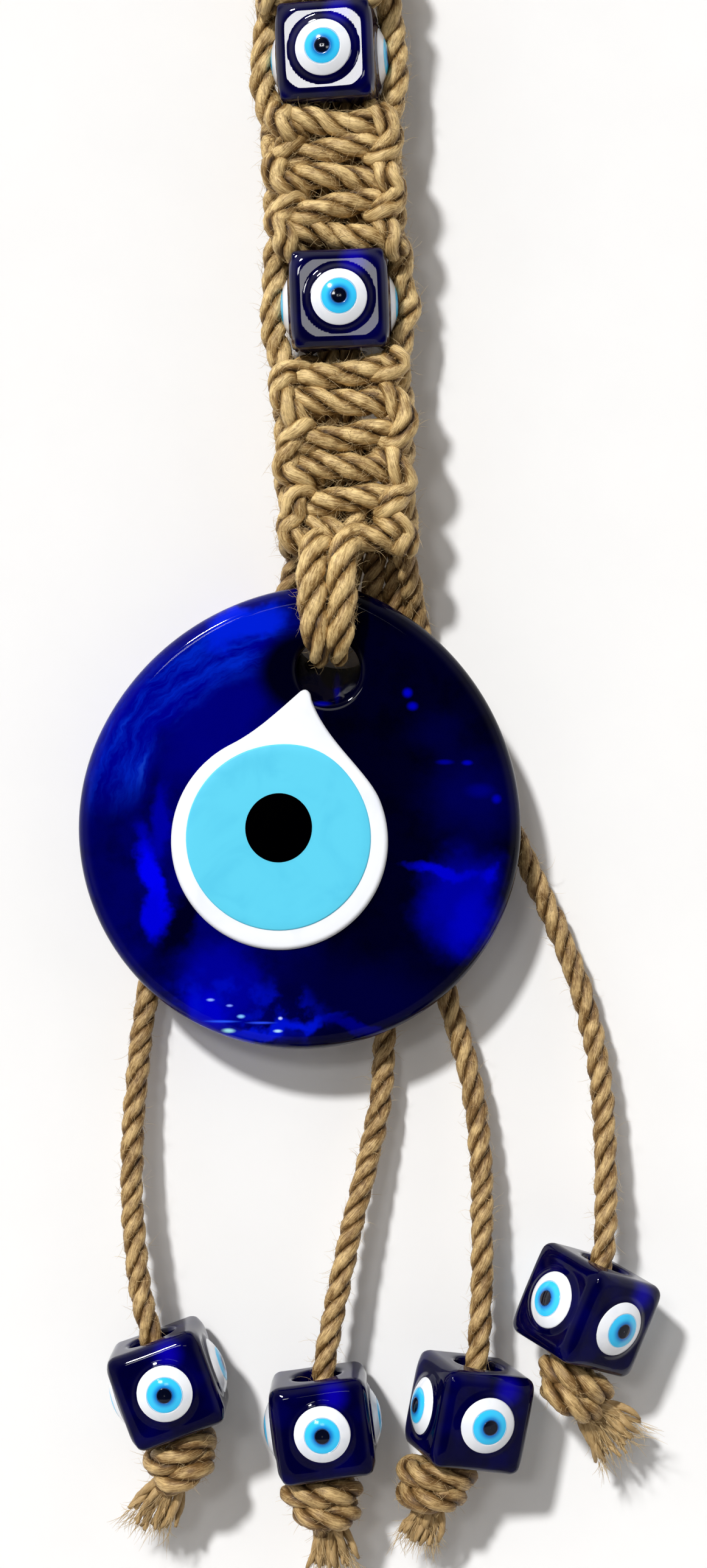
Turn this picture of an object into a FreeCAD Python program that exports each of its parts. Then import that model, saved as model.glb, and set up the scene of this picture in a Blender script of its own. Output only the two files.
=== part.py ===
"""Evil eye ornament: a knotted jute strap that holds two glass beads and, from a sling,
a large glass eye disc; four cords with a bead, a stopper knot and a frayed end each
hang down from behind the disc.

Millimetres. +Z is up, the front faces -Y and X runs to the right. The origin is the
inside top of the hanging loop, where the nail sits.
"""
import FreeCAD
import Part
import Sketcher

import math
import os

Vector = FreeCAD.Vector
Rotation = FreeCAD.Rotation
Placement = FreeCAD.Placement

doc = FreeCAD.newDocument("EvilEyeOrnament")

# ---------------------------------------------------------------- driving dimensions
DIMENSIONS = [
    ("cord_diameter", 3.5),
    ("core_offset", 1.85),          # half the spacing of the two core cords
    ("core_top", -31.5),
    ("core_bottom", -132.65),
    ("loop_bend_radius", 7.25),     # centre line of the loop's top
    ("knot_half_width", 10.3),
    ("knot_half_depth", 5.25),
    ("knot_slot_clearance", 0.05),
    ("knot_height_short", 4.3),
    ("knot_height_tall", 4.7),
    ("knot_edge_radius", 1.3),
    ("knot_pitch_short", 4.5),
    ("knot_pitch_tall", 5.05),
    ("top_knots", 3),
    ("top_knots_z", -35.2),
    ("middle_knots", 5),
    ("middle_knots_z", -65.7),
    ("lower_knots", 6),
    ("lower_knots_z", -105.05),
    ("bead_size", 15.5),
    ("bead_edge_radius", 2.2),
    ("bead_hole_radius", 3.8),
    ("drop_sphere_radius", 7.93),   # the one dome that a bead's three drops make up
    ("drop_white_radius", 4.5),
    ("drop_iris_radius", 3.0),
    ("drop_pupil_radius", 1.45),
    ("disc_radius", 35.0),
    ("disc_shoulder_radius", 41.0),
    ("disc_tip_radius", 10.0),
    ("disc_tip_centre", 28.9),
    ("disc_thickness", 8.5),
    ("disc_edge_radius", 3.6),
    ("hole_radius", 5.0),
    ("hole_height", 25.4),
    ("hole_edge_radius", 1.2),
    ("eye_white_radius", 17.1),
    ("eye_white_tip_radius", 1.4),
    ("eye_white_tip_centre", 22.7),
    ("eye_white_thickness", 0.7),
    ("eye_iris_radius", 14.6),
    ("eye_iris_thickness", 0.4),
    ("eye_pupil_radius", 5.4),
    ("eye_pupil_thickness", 0.3),
    ("stopper_half_width", 5.3),
    ("stopper_half_depth", 4.6),
    ("stopper_half_height", 4.0),
    ("frayed_end_radius", 3.2),
]

sheet = doc.addObject("Spreadsheet::Sheet", "Dims")
for row_number, (alias, value) in enumerate(DIMENSIONS, start=1):
    sheet.set(f"A{row_number}", alias)
    sheet.set(f"B{row_number}", str(value))
    sheet.setAlias(f"B{row_number}", alias)
doc.recompute()


def dim(alias):
    """A driving dimension, read from the sheet."""
    return float(sheet.get(alias))


subparts = {}


def keep(obj, label, placement=None):
    """Name a sub-part and list it for export."""
    obj.Label = label
    if placement is not None:
        obj.Placement = placement
    subparts[label] = obj
    return obj


# ---------------------------------------------------------------- places
DISC_CENTRE = Vector(-9.46, -0.25, -176.62)
DISC_ROLL = 12.6                    # clockwise from the front, degrees
EYE_WHITE_AT = Vector(-2.7, 0, -2.6)     # in the disc's own frame
EYE_IRIS_AT = Vector(-2.95, 0, -2.1)
EYE_PUPIL_AT = Vector(-3.2, 0, -0.5)

# name: centre, roll clockwise from the front, yaw about the hole
BEADS = {
    "strap_bead_upper": (Vector(0, 0, -55.0), 0, -7),
    "strap_bead_lower": (Vector(0, 0, -94.0), 0, 0),
    "tassel_bead_1": (Vector(-33.8, 0, -263.9), -17.8, 0),
    "tassel_bead_2": (Vector(-9.5, 0, -271.2), -5.3, 0),
    "tassel_bead_3": (Vector(13.8, 0, -270.3), 13.2, 19),
    "tassel_bead_4": (Vector(33.0, -1.0, -254.6), 24.2, 37),
}

# Routes of the four hanging cords, from the last knot to the stopper knot. The first
# list stays behind the disc, the second swings below it.
CORD_ROUTES = {
    1: (
        [(-8.2, 2.8, -132.65), (-9.4, 6.0, -137.6), (-13.4, 6.6, -146.0),
         (-20.0, 6.6, -158.5), (-27.0, 6.6, -173.5), (-32.3, 6.5, -188.0),
         (-35.2, 6.4, -201.5)],
        [(-37.6, 5.4, -217.0), (-38.8, 3.4, -231.0), (-38.4, 1.4, -244.5),
         (-36.9, 0.2, -255.0), (-33.9, 0.0, -264.2), (-32.2, 0.2, -275.0)],
    ),
    2: (
        [(4.4, 3.4, -132.65), (3.6, 6.0, -138.0), (3.1, 6.6, -146.0),
         (3.3, 6.6, -156.0), (3.8, 6.6, -168.0), (3.9, 6.5, -181.0),
         (3.6, 6.4, -195.5), (2.9, 6.4, -208.5)],
        [(2.0, 5.7, -220.5), (-1.3, 3.8, -232.5), (-4.6, 2.2, -244.0),
         (-7.2, 0.9, -254.5), (-9.2, 0.2, -262.5), (-9.5, 0.0, -271.6),
         (-9.8, 0.2, -282.3)],
    ),
    3: (
        [(8.05, 3.0, -132.65), (7.1, 5.8, -137.6), (6.8, 6.6, -146.0),
         (7.1, 6.6, -157.0), (8.0, 6.6, -169.0), (9.1, 6.5, -182.0),
         (10.4, 6.4, -195.0), (13.6, 6.3, -207.0)],
        [(16.6, 5.5, -218.5), (17.5, 4.0, -230.5), (17.1, 2.6, -242.5),
         (16.5, 1.2, -253.5), (15.5, 0.2, -262.0), (13.4, 0.0, -270.8),
         (8.9, 0.2, -280.6)],
    ),
    4: (
        [(8.4, -1.0, -132.65), (9.3, 0.6, -136.4), (10.0, 4.2, -140.2),
         (10.6, 6.8, -144.6), (12.0, 6.9, -151.0), (14.8, 6.8, -159.0),
         (19.0, 6.7, -168.0), (24.0, 6.6, -177.0), (28.2, 6.5, -187.0),
         (32.2, 6.3, -196.8)],
        [(35.4, 5.5, -207.0), (37.3, 4.2, -219.0), (37.3, 2.4, -231.5),
         (36.8, 0.6, -240.0), (36.0, -0.6, -247.0), (33.1, -1.0, -254.8),
         (30.0, -0.9, -265.3)],
    ),
}

# Stopper knots: how far each sits to the right of its bead's hole.
STOPPER_SHIFT = {1: -2.0, 2: -1.6, 3: -3.2, 4: 2.6}
# Frayed ends: which way each points, and how long it is. Each starts inside its knot.
FRAYED_ENDS = {
    1: (Vector(-6.4, 1.5, -13.0), 12.0),
    2: (Vector(1.2, 1.0, -9.0), 9.0),
    3: (Vector(-3.4, 1.5, -8.0), 8.0),
    4: (Vector(7.6, 2.0, -11.0), 12.0),
}
FRAY_START = 2.0


# ---------------------------------------------------------------- cords
CORNER_SHARE = 0.45
HINGE_GAP = 0.15


def rounded_path(points):
    """Straight runs joined by tangent arcs, each as large as its two runs allow."""
    points = [Vector(*point) for point in points]
    edges = []
    radii = []
    start = points[0]
    for before, corner, after in zip(points, points[1:], points[2:]):
        to_before = before - corner
        to_after = after - corner
        shorter = min(to_before.Length, to_after.Length)
        to_before.normalize()
        to_after.normalize()
        half_turn = (math.pi - to_before.getAngle(to_after)) / 2
        setback = CORNER_SHARE * shorter
        radius = setback / math.tan(half_turn)
        arc_start = corner + to_before * setback
        arc_end = corner + to_after * setback
        inward = to_before + to_after
        inward.normalize()
        arc_middle = corner + inward * radius * (1 / math.cos(half_turn) - 1)
        edges.append(Part.LineSegment(start, arc_start).toShape())
        edges.append(Part.Arc(arc_start, arc_middle, arc_end).toShape())
        radii.append(round(radius, 1))
        start = arc_end
    edges.append(Part.LineSegment(start, points[-1]).toShape())
    return Part.Wire(edges), radii


def cord_solid(points, diameter):
    """A round tube along a rounded path, checked against its section times its length."""
    path, radii = rounded_path(points)
    direction = Vector(*points[1]) - Vector(*points[0])
    ring = Part.Wire(Part.Circle(Vector(*points[0]), direction, diameter / 2).toShape())
    solid = path.makePipeShell([ring], True, False)
    expected = math.pi * diameter ** 2 / 4 * path.Length
    if abs(solid.Volume - expected) > 0.01 * expected:
        raise RuntimeError("a cord's volume differs from its section times its length")
    return solid, radii, path.Length


def add_cord(label, points, ball_at=None, closed=False):
    """A cord as its own sub-part, with a round end where it turns on a hinge.

    A closed cord comes back to its ball along one last straight run.
    """
    diameter = dim("cord_diameter")
    solid, radii, length = cord_solid(points, diameter)
    if closed:
        last_run = ball_at - Vector(*points[-1])
        run = Part.makeCylinder(diameter / 2, last_run.Length, Vector(*points[-1]), last_run)
        solid = solid.fuse(run)
    if ball_at is not None:
        ball = Part.makeSphere(diameter / 2, ball_at)
        solid = solid.fuse(ball).removeSplitter()
    feature = doc.addObject("Part::Feature", label)
    feature.Shape = solid
    keep(feature, label, Placement())
    print(f"{label}: length {length:.1f}, radii {radii}")


def toward(start, end, distance):
    """The point at a distance from start on the line to end."""
    direction = end - start
    direction.normalize()
    return start + direction * distance


# ---------------------------------------------------------------- PartDesign helpers
def origin_feature(body, role):
    """One of a body's own origin planes or axes."""
    return next(item for item in body.Origin.OriginFeatures if item.Role == role)


def new_body(name):
    body = doc.addObject("PartDesign::Body", name)
    body.AllowCompound = True
    return body


def new_sketch(body, name, plane):
    sketch = body.newObject("Sketcher::SketchObject", name)
    sketch.AttachmentSupport = [(origin_feature(body, plane), "")]
    sketch.MapMode = "FlatFace"
    return sketch


def bind(sketch, constraint, expression):
    """Add one sized constraint and tie it to the sheet."""
    index = sketch.addConstraint(constraint)
    sketch.setExpression(f"Constraints[{index}]", expression)


def add_circle(sketch, centre, radius_alias):
    """A circle tied to a radius in the sheet, at a set place on its plane."""
    radius = dim(radius_alias)
    circle = Part.Circle(Vector(centre[0], centre[1], 0), Vector(0, 0, 1), radius)
    edge = sketch.addGeometry(circle, False)
    bind(sketch, Sketcher.Constraint("Radius", edge, radius), f"Dims.{radius_alias}")
    sketch.addConstraint(Sketcher.Constraint("DistanceX", -1, 1, edge, 3, centre[0]))
    sketch.addConstraint(Sketcher.Constraint("DistanceY", -1, 1, edge, 3, centre[1]))
    return edge


def add_arc(sketch, centre, radius, start_deg, end_deg):
    circle = Part.Circle(Vector(centre[0], centre[1], 0), Vector(0, 0, 1), radius)
    arc = Part.ArcOfCircle(circle, math.radians(start_deg), math.radians(end_deg))
    return sketch.addGeometry(arc, False)


def add_line(sketch, start, end):
    line = Part.LineSegment(Vector(start[0], start[1], 0), Vector(end[0], end[1], 0))
    return sketch.addGeometry(line, False)


def add_rectangle(sketch, width_expression, depth_expression, width, depth):
    """A rectangle about the sketch's origin, its two sizes tied to the sheet."""
    corners = [(-width / 2, -depth / 2), (width / 2, -depth / 2),
               (width / 2, depth / 2), (-width / 2, depth / 2)]
    lines = [add_line(sketch, corners[i], corners[(i + 1) % 4]) for i in range(4)]
    for i in range(4):
        after = lines[(i + 1) % 4]
        sketch.addConstraint(Sketcher.Constraint("Coincident", lines[i], 2, after, 1))
        direction = "Horizontal" if i % 2 == 0 else "Vertical"
        sketch.addConstraint(Sketcher.Constraint(direction, lines[i]))
    middle = Sketcher.Constraint("Symmetric", lines[0], 1, lines[1], 2, -1, 1)
    sketch.addConstraint(middle)
    bind(sketch, Sketcher.Constraint("DistanceX", lines[0], 1, lines[0], 2, width),
         width_expression)
    bind(sketch, Sketcher.Constraint("DistanceY", lines[1], 1, lines[1], 2, depth),
         depth_expression)


def pad(body, sketch, name, length_expression, symmetric=False):
    feature = body.newObject("PartDesign::Pad", name)
    feature.Profile = sketch
    if symmetric:
        feature.SideType = "Symmetric"
    feature.setExpression("Length", length_expression)
    doc.recompute()
    return feature


def through_hole(body, name, plane, centre, radius_alias):
    """A round hole right through, both ways from its plane."""
    sketch = new_sketch(body, f"{name}Sketch", plane)
    add_circle(sketch, centre, radius_alias)
    before = body.Shape.Volume
    feature = body.newObject("PartDesign::Pocket", name)
    feature.Profile = sketch
    feature.SideType = "Symmetric"
    feature.Type = "ThroughAll"
    doc.recompute()
    if feature.Shape.Volume > 0.999 * before:
        raise RuntimeError(f"{name} cut nothing")
    return feature


def fillet(body, base, name, radius_expression, wanted):
    """Round the edges of base that wanted() picks."""
    names = [f"Edge{i + 1}" for i, edge in enumerate(base.Shape.Edges) if wanted(edge)]
    feature = body.newObject("PartDesign::Fillet", name)
    feature.Base = (base, names)
    feature.setExpression("Radius", radius_expression)
    doc.recompute()
    return feature


# ---------------------------------------------------------------- the strap
def make_hanging_loop():
    """The core cord's fold, a leg and half a bend mirrored: the nail goes through it."""
    cord_radius = dim("cord_diameter") / 2
    bend = dim("loop_bend_radius")
    bend_centre = cord_radius - bend
    leg_x = dim("core_offset")
    leg_z = dim("core_top")
    body = new_body("HangingLoopBody")
    path = new_sketch(body, "HangingLoopPath", "XZ_Plane")
    # The leg touches the bend at this angle from the bend's centre.
    reach = math.hypot(leg_x, leg_z - bend_centre)
    leg_angle = math.atan2(leg_z - bend_centre, leg_x)
    tangent_angle = leg_angle + math.acos(bend / reach)
    tangent_deg = math.degrees(tangent_angle)
    tangent_x = bend * math.cos(tangent_angle)
    tangent_z = bend_centre + bend * math.sin(tangent_angle)
    arc = add_arc(path, (0, bend_centre), bend, tangent_deg, 90)
    leg = add_line(path, (leg_x, leg_z), (tangent_x, tangent_z))
    path.addConstraint(Sketcher.Constraint("Tangent", leg, 2, arc, 1))
    path.addConstraint(Sketcher.Constraint("PointOnObject", arc, 3, -2))
    path.addConstraint(Sketcher.Constraint("PointOnObject", arc, 2, -2))
    bind(path, Sketcher.Constraint("Radius", arc, bend), "Dims.loop_bend_radius")
    bind(path, Sketcher.Constraint("DistanceY", arc, 3, -1, 1, -bend_centre),
         "Dims.loop_bend_radius - Dims.cord_diameter / 2")
    bind(path, Sketcher.Constraint("DistanceY", leg, 1, -1, 1, -leg_z), "-Dims.core_top")
    bind(path, Sketcher.Constraint("DistanceX", -1, 1, leg, 1, leg_x), "Dims.core_offset")
    profile = new_sketch(body, "HangingLoopProfile", "XY_Plane")
    profile.setExpression("AttachmentOffset.Base.z", "Dims.core_top")
    edge = profile.addGeometry(
        Part.Circle(Vector(leg_x, 0, 0), Vector(0, 0, 1), cord_radius), False)
    bind(profile, Sketcher.Constraint("Diameter", edge, 2 * cord_radius),
         "Dims.cord_diameter")
    bind(profile, Sketcher.Constraint("DistanceX", -1, 1, edge, 3, leg_x),
         "Dims.core_offset")
    profile.addConstraint(Sketcher.Constraint("PointOnObject", edge, 3, -1))
    doc.recompute()
    pipe = body.newObject("PartDesign::AdditivePipe", "HangingLoopPipe")
    pipe.Profile = profile
    pipe.Spine = (path, [])
    doc.recompute()
    other_half = body.newObject("PartDesign::Mirrored", "HangingLoopMirrored")
    other_half.Originals = [pipe]
    other_half.MirrorPlane = (origin_feature(body, "YZ_Plane"), [""])
    body.Tip = other_half
    doc.recompute()
    if body.Shape.Volume < 1.9 * pipe.Shape.Volume:
        raise RuntimeError("the hanging loop has lost its mirrored half")
    keep(body, "hanging_loop")


def make_core_cords():
    """The two straight core cords, from the loop to the last knot."""
    for label, side in (("core_cord_left", -1), ("core_cord_right", 1)):
        cylinder = doc.addObject("Part::Cylinder", label)
        cylinder.setExpression("Radius", "Dims.cord_diameter / 2")
        cylinder.setExpression("Height", "Dims.core_top - Dims.core_bottom")
        cylinder.setExpression("Placement.Base.x", f"{side} * Dims.core_offset")
        cylinder.setExpression("Placement.Base.z", "Dims.core_bottom")
        keep(cylinder, label)


def make_knot_band(label, count, first_z, height, pitch):
    """A stack of half knots, each a rounded ring that holds the two core cords."""
    body = new_body(f"{label}_body")
    half_width = dim("knot_half_width")
    half_depth = dim("knot_half_depth")
    straight = half_width - half_depth
    outline = new_sketch(body, f"{label}_outline", "XY_Plane")
    right_end = add_arc(outline, (straight, 0), half_depth, -90, 90)
    back = add_line(outline, (straight, half_depth), (-straight, half_depth))
    left_end = add_arc(outline, (-straight, 0), half_depth, 90, 270)
    front = add_line(outline, (-straight, -half_depth), (straight, -half_depth))
    loop = [right_end, back, left_end, front]
    for edge, after in zip(loop, loop[1:] + loop[:1]):
        outline.addConstraint(Sketcher.Constraint("Tangent", edge, 2, after, 1))
    outline.addConstraint(Sketcher.Constraint("Horizontal", front))
    bind(outline, Sketcher.Constraint("Radius", right_end, half_depth),
         "Dims.knot_half_depth")
    for end, side in ((right_end, 1), (left_end, -1)):
        outline.addConstraint(Sketcher.Constraint("PointOnObject", end, 3, -1))
        bind(outline, Sketcher.Constraint("DistanceX", -1, 1, end, 3, side * straight),
             f"{side} * (Dims.knot_half_width - Dims.knot_half_depth)")
    # The slot clears the two cords on every side.
    gap = dim("knot_slot_clearance")
    slot_width = 2 * (dim("core_offset") + dim("cord_diameter") / 2 + gap)
    slot_depth = dim("cord_diameter") + 2 * gap
    clear = "2 * Dims.knot_slot_clearance"
    add_rectangle(outline,
                  f"2 * Dims.core_offset + Dims.cord_diameter + {clear}",
                  f"Dims.cord_diameter + {clear}", slot_width, slot_depth)
    ring = pad(body, outline, f"{label}_pad", f"Dims.{height}", symmetric=True)
    slot_reach = slot_width / 2 + 0.1

    def on_outer_rim(edge):
        box = edge.BoundBox
        flat = box.ZMax - box.ZMin < 1e-6
        outside = abs(box.Center.y) > slot_depth / 2 + 0.1 or box.XMax > slot_reach \
            or box.XMin < -slot_reach
        return flat and outside

    rounded = fillet(body, ring, f"{label}_fillet", "Dims.knot_edge_radius", on_outer_rim)
    pattern = body.newObject("PartDesign::LinearPattern", f"{label}_pattern")
    pattern.TransformMode = "Whole shape"
    pattern.Direction = (origin_feature(body, "Z_Axis"), [""])
    pattern.Reversed = True
    pattern.Mode = "Spacing"
    pattern.setExpression("Offset", f"Dims.{pitch}")
    pattern.setExpression("Occurrences", f"Dims.{count}")
    body.Tip = pattern
    doc.recompute()
    if len(body.Shape.Solids) != int(dim(count)):
        raise RuntimeError(f"{label} has {len(body.Shape.Solids)} rings, from {rounded.Label}")
    body.setExpression("Placement.Base.z", f"Dims.{first_z}")
    keep(body, label)


def make_side_cords():
    """The working cords where they pass each side of a strap bead, like brackets."""
    spans = {
        "upper": (dim("top_knots_z") - (dim("top_knots") - 1) * dim("knot_pitch_short")
                  - dim("knot_height_short") / 2,
                  dim("middle_knots_z") + dim("knot_height_short") / 2),
        "lower": (dim("middle_knots_z")
                  - (dim("middle_knots") - 1) * dim("knot_pitch_short")
                  - dim("knot_height_short") / 2,
                  dim("lower_knots_z") + dim("knot_height_tall") / 2),
    }
    end_x = 8.7
    bulge_x = 11.1
    shoulder = 4.4
    for name, (top, bottom) in spans.items():
        for side_name, side in (("left", -1), ("right", 1)):
            points = [(side * end_x, 0, top), (side * bulge_x, 0, top - shoulder),
                      (side * bulge_x, 0, bottom + shoulder), (side * end_x, 0, bottom)]
            add_cord(f"side_cord_{name}_{side_name}", points)


# ---------------------------------------------------------------- beads
def bead_placement(name):
    centre, roll, yaw = BEADS[name]
    turn = Rotation(Vector(0, 1, 0), roll) * Rotation(Vector(0, 0, 1), yaw)
    return Placement(centre, turn)


def make_bead_body(name):
    """A glass cube with rounded edges and a hole down its middle."""
    body = new_body(f"{name}_body")
    outline = new_sketch(body, f"{name}_outline", "XY_Plane")
    size = dim("bead_size")
    add_rectangle(outline, "Dims.bead_size", "Dims.bead_size", size, size)
    block = pad(body, outline, f"{name}_pad", "Dims.bead_size", symmetric=True)
    fillet(body, block, f"{name}_fillet", "Dims.bead_edge_radius", lambda edge: True)
    through_hole(body, f"{name}_hole", "XY_Plane", (0, 0), "bead_hole_radius")
    keep(body, name, bead_placement(name))


def drop_placement(side):
    """Where the dome of one side's eye has its centre, in the bead's own frame."""
    # The dome's widest circle lies on the bead's face.
    base = math.sqrt(dim("drop_sphere_radius") ** 2 - dim("drop_white_radius") ** 2)
    turn = Rotation(Vector(0, 0, 1), 90 * side) * Rotation(Vector(1, 0, 0), 90)
    out = turn.multVec(Vector(0, 0, dim("bead_size") / 2 - base))
    return Placement(out, turn)


def dome_slice(label, side, outer_alias, inner_alias=None):
    """The dome between two of its circles, or its whole cap above one circle."""
    radius = "Dims.drop_sphere_radius"
    dome = doc.addObject("Part::Sphere", label)
    dome.setExpression("Radius", radius)
    dome.setExpression("Angle1", f"acos(Dims.{outer_alias} / {radius})")
    if inner_alias is not None:
        dome.setExpression("Angle2", f"acos(Dims.{inner_alias} / {radius})")
    dome.Placement = drop_placement(side)
    return dome


def pupil_rod(label, side):
    rod = doc.addObject("Part::Cylinder", label)
    rod.setExpression("Radius", "Dims.drop_pupil_radius")
    rod.setExpression("Height", "Dims.drop_sphere_radius")
    rod.Placement = drop_placement(side)
    return rod


def iris_part(kind, label, side):
    """The cap inside the iris's circle, without the pupil's rod (Cut) or with it only (Common)."""
    part = doc.addObject(f"Part::{kind}", label)
    part.Base = dome_slice(f"{label}_cap", side, "drop_iris_radius")
    part.Tool = pupil_rod(f"{label}_rod", side)
    return part


def keep_drops(name, layer, make_side):
    """One layer of the four eyes of a bead, as a group of four solids."""
    group = doc.addObject("Part::Compound", f"{name}_{layer}_group")
    group.Links = [make_side(f"{name}_{layer}_{side}", side) for side in range(4)]
    keep(group, f"{name}_{layer}", bead_placement(name))


def make_bead(name):
    make_bead_body(name)
    keep_drops(name, "whites", lambda label, side: dome_slice(
        label, side, "drop_white_radius", "drop_iris_radius"))
    keep_drops(name, "irises", lambda label, side: iris_part("Cut", label, side))
    keep_drops(name, "pupils", lambda label, side: iris_part("Common", label, side))


# ---------------------------------------------------------------- the glass disc
def disc_placement(offset=Vector(0, 0, 0)):
    """The disc's place, or that of a layer at an offset in the disc's own frame."""
    roll = Rotation(Vector(0, 1, 0), DISC_ROLL)
    return Placement(DISC_CENTRE + roll.multVec(offset), roll)


def make_disc():
    """A round disc drawn up to a soft point, with the hole that it hangs by."""
    radius = dim("disc_radius")
    shoulder = dim("disc_shoulder_radius")
    tip = dim("disc_tip_radius")
    tip_centre = dim("disc_tip_centre")
    # Each shoulder arc is tangent to the round part and to the tip.
    to_round = shoulder - radius
    to_tip = shoulder - tip
    drop = (to_tip ** 2 - to_round ** 2 - tip_centre ** 2) / (2 * tip_centre)
    shift = math.sqrt(to_round ** 2 - drop ** 2)
    low = math.degrees(math.atan2(drop, shift))
    high = math.degrees(math.atan2(tip_centre + drop, shift))
    body = new_body("GlassDiscBody")
    outline = new_sketch(body, "GlassDiscOutline", "XZ_Plane")
    round_arc = add_arc(outline, (0, 0), radius, 180 - low, 360 + low)
    right_arc = add_arc(outline, (-shift, -drop), shoulder, low, high)
    tip_arc = add_arc(outline, (0, tip_centre), tip, high, 180 - high)
    left_arc = add_arc(outline, (shift, -drop), shoulder, 180 - high, 180 - low)
    loop = [round_arc, right_arc, tip_arc, left_arc]
    for arc, after in zip(loop, loop[1:] + loop[:1]):
        outline.addConstraint(Sketcher.Constraint("Tangent", arc, 2, after, 1))
    outline.addConstraint(Sketcher.Constraint("Coincident", round_arc, 3, -1, 1))
    outline.addConstraint(Sketcher.Constraint("PointOnObject", tip_arc, 3, -2))
    bind(outline, Sketcher.Constraint("Radius", round_arc, radius), "Dims.disc_radius")
    bind(outline, Sketcher.Constraint("Radius", tip_arc, tip), "Dims.disc_tip_radius")
    bind(outline, Sketcher.Constraint("Radius", right_arc, shoulder),
         "Dims.disc_shoulder_radius")
    bind(outline, Sketcher.Constraint("DistanceY", -1, 1, tip_arc, 3, tip_centre),
         "Dims.disc_tip_centre")
    outline.addConstraint(Sketcher.Constraint("Equal", right_arc, left_arc))
    slab = pad(body, outline, "GlassDiscPad", "Dims.disc_thickness", symmetric=True)

    def on_rim(edge):
        return edge.BoundBox.YMax - edge.BoundBox.YMin < 1e-6

    fillet(body, slab, "GlassDiscEdge", "Dims.disc_edge_radius", on_rim)
    height = dim("hole_height")
    hole = through_hole(body, "GlassDiscHole", "XZ_Plane", (0, height), "hole_radius")

    def on_hole_rim(edge):
        box = edge.BoundBox
        flat = box.YMax - box.YMin < 1e-6
        across = box.XMax - box.XMin
        return flat and abs(across - 2 * dim("hole_radius")) < 0.01

    fillet(body, hole, "GlassDiscHoleEdge", "Dims.hole_edge_radius", on_hole_rim)
    keep(body, "glass_disc", disc_placement())


def make_eye_white():
    """The white glass under the iris: round, with one point towards the hole."""
    radius = dim("eye_white_radius")
    tip = dim("eye_white_tip_radius")
    tip_centre = dim("eye_white_tip_centre")
    lean = math.asin((radius - tip) / tip_centre)
    lean_deg = math.degrees(lean)
    cos_lean, sin_lean = math.cos(lean), math.sin(lean)
    body = new_body("EyeWhiteBody")
    outline = new_sketch(body, "EyeWhiteOutline", "XZ_Plane")
    round_arc = add_arc(outline, (0, 0), radius, 180 - lean_deg, 360 + lean_deg)
    right = add_line(outline, (radius * cos_lean, radius * sin_lean),
                     (tip * cos_lean, tip_centre + tip * sin_lean))
    tip_arc = add_arc(outline, (0, tip_centre), tip, lean_deg, 180 - lean_deg)
    left = add_line(outline, (-tip * cos_lean, tip_centre + tip * sin_lean),
                    (-radius * cos_lean, radius * sin_lean))
    loop = [round_arc, right, tip_arc, left]
    for edge, after in zip(loop, loop[1:] + loop[:1]):
        outline.addConstraint(Sketcher.Constraint("Tangent", edge, 2, after, 1))
    outline.addConstraint(Sketcher.Constraint("Coincident", round_arc, 3, -1, 1))
    outline.addConstraint(Sketcher.Constraint("PointOnObject", tip_arc, 3, -2))
    bind(outline, Sketcher.Constraint("Radius", round_arc, radius),
         "Dims.eye_white_radius")
    bind(outline, Sketcher.Constraint("Radius", tip_arc, tip), "Dims.eye_white_tip_radius")
    bind(outline, Sketcher.Constraint("DistanceY", -1, 1, tip_arc, 3, tip_centre),
         "Dims.eye_white_tip_centre")
    pad(body, outline, "EyeWhitePad", "Dims.eye_white_thickness")
    front = Vector(0, -dim("disc_thickness") / 2, 0)
    keep(body, "eye_white", disc_placement(EYE_WHITE_AT + front))


def make_round_layer(label, radius_alias, thickness_alias, at, height):
    """A round layer of the eye, standing height above the disc's front face."""
    body = new_body(f"{label}_body")
    outline = new_sketch(body, f"{label}_outline", "XZ_Plane")
    add_circle(outline, (0, 0), radius_alias)
    pad(body, outline, f"{label}_pad", f"Dims.{thickness_alias}")
    front = Vector(0, -dim("disc_thickness") / 2 - height, 0)
    keep(body, label, disc_placement(at + front))


# ---------------------------------------------------------------- sling and tassels
SLING_PIVOT = Vector(-1.2, 0, -134.7)
# Down the front of the rim, through the hole and up the back. x is the pair's middle.
SLING_ROUTE = [(-1.2, 0, -134.7), (-1.9, -7.4, -138.8), (-3.9, -7.4, -149.9),
               (-3.9, 6.4, -149.9), (-2.6, 6.4, -139.0), (-1.95, 3.43, -137.0)]


def make_sling():
    """The core cord's two strands that carry the disc, each closed at its pivot end."""
    for label, side in (("sling_cord_left", -1), ("sling_cord_right", 1)):
        shift = side * dim("core_offset")
        points = [(x + shift, y, z) for x, y, z in SLING_ROUTE]
        add_cord(label, points, SLING_PIVOT + Vector(shift, 0, 0), closed=True)


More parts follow.
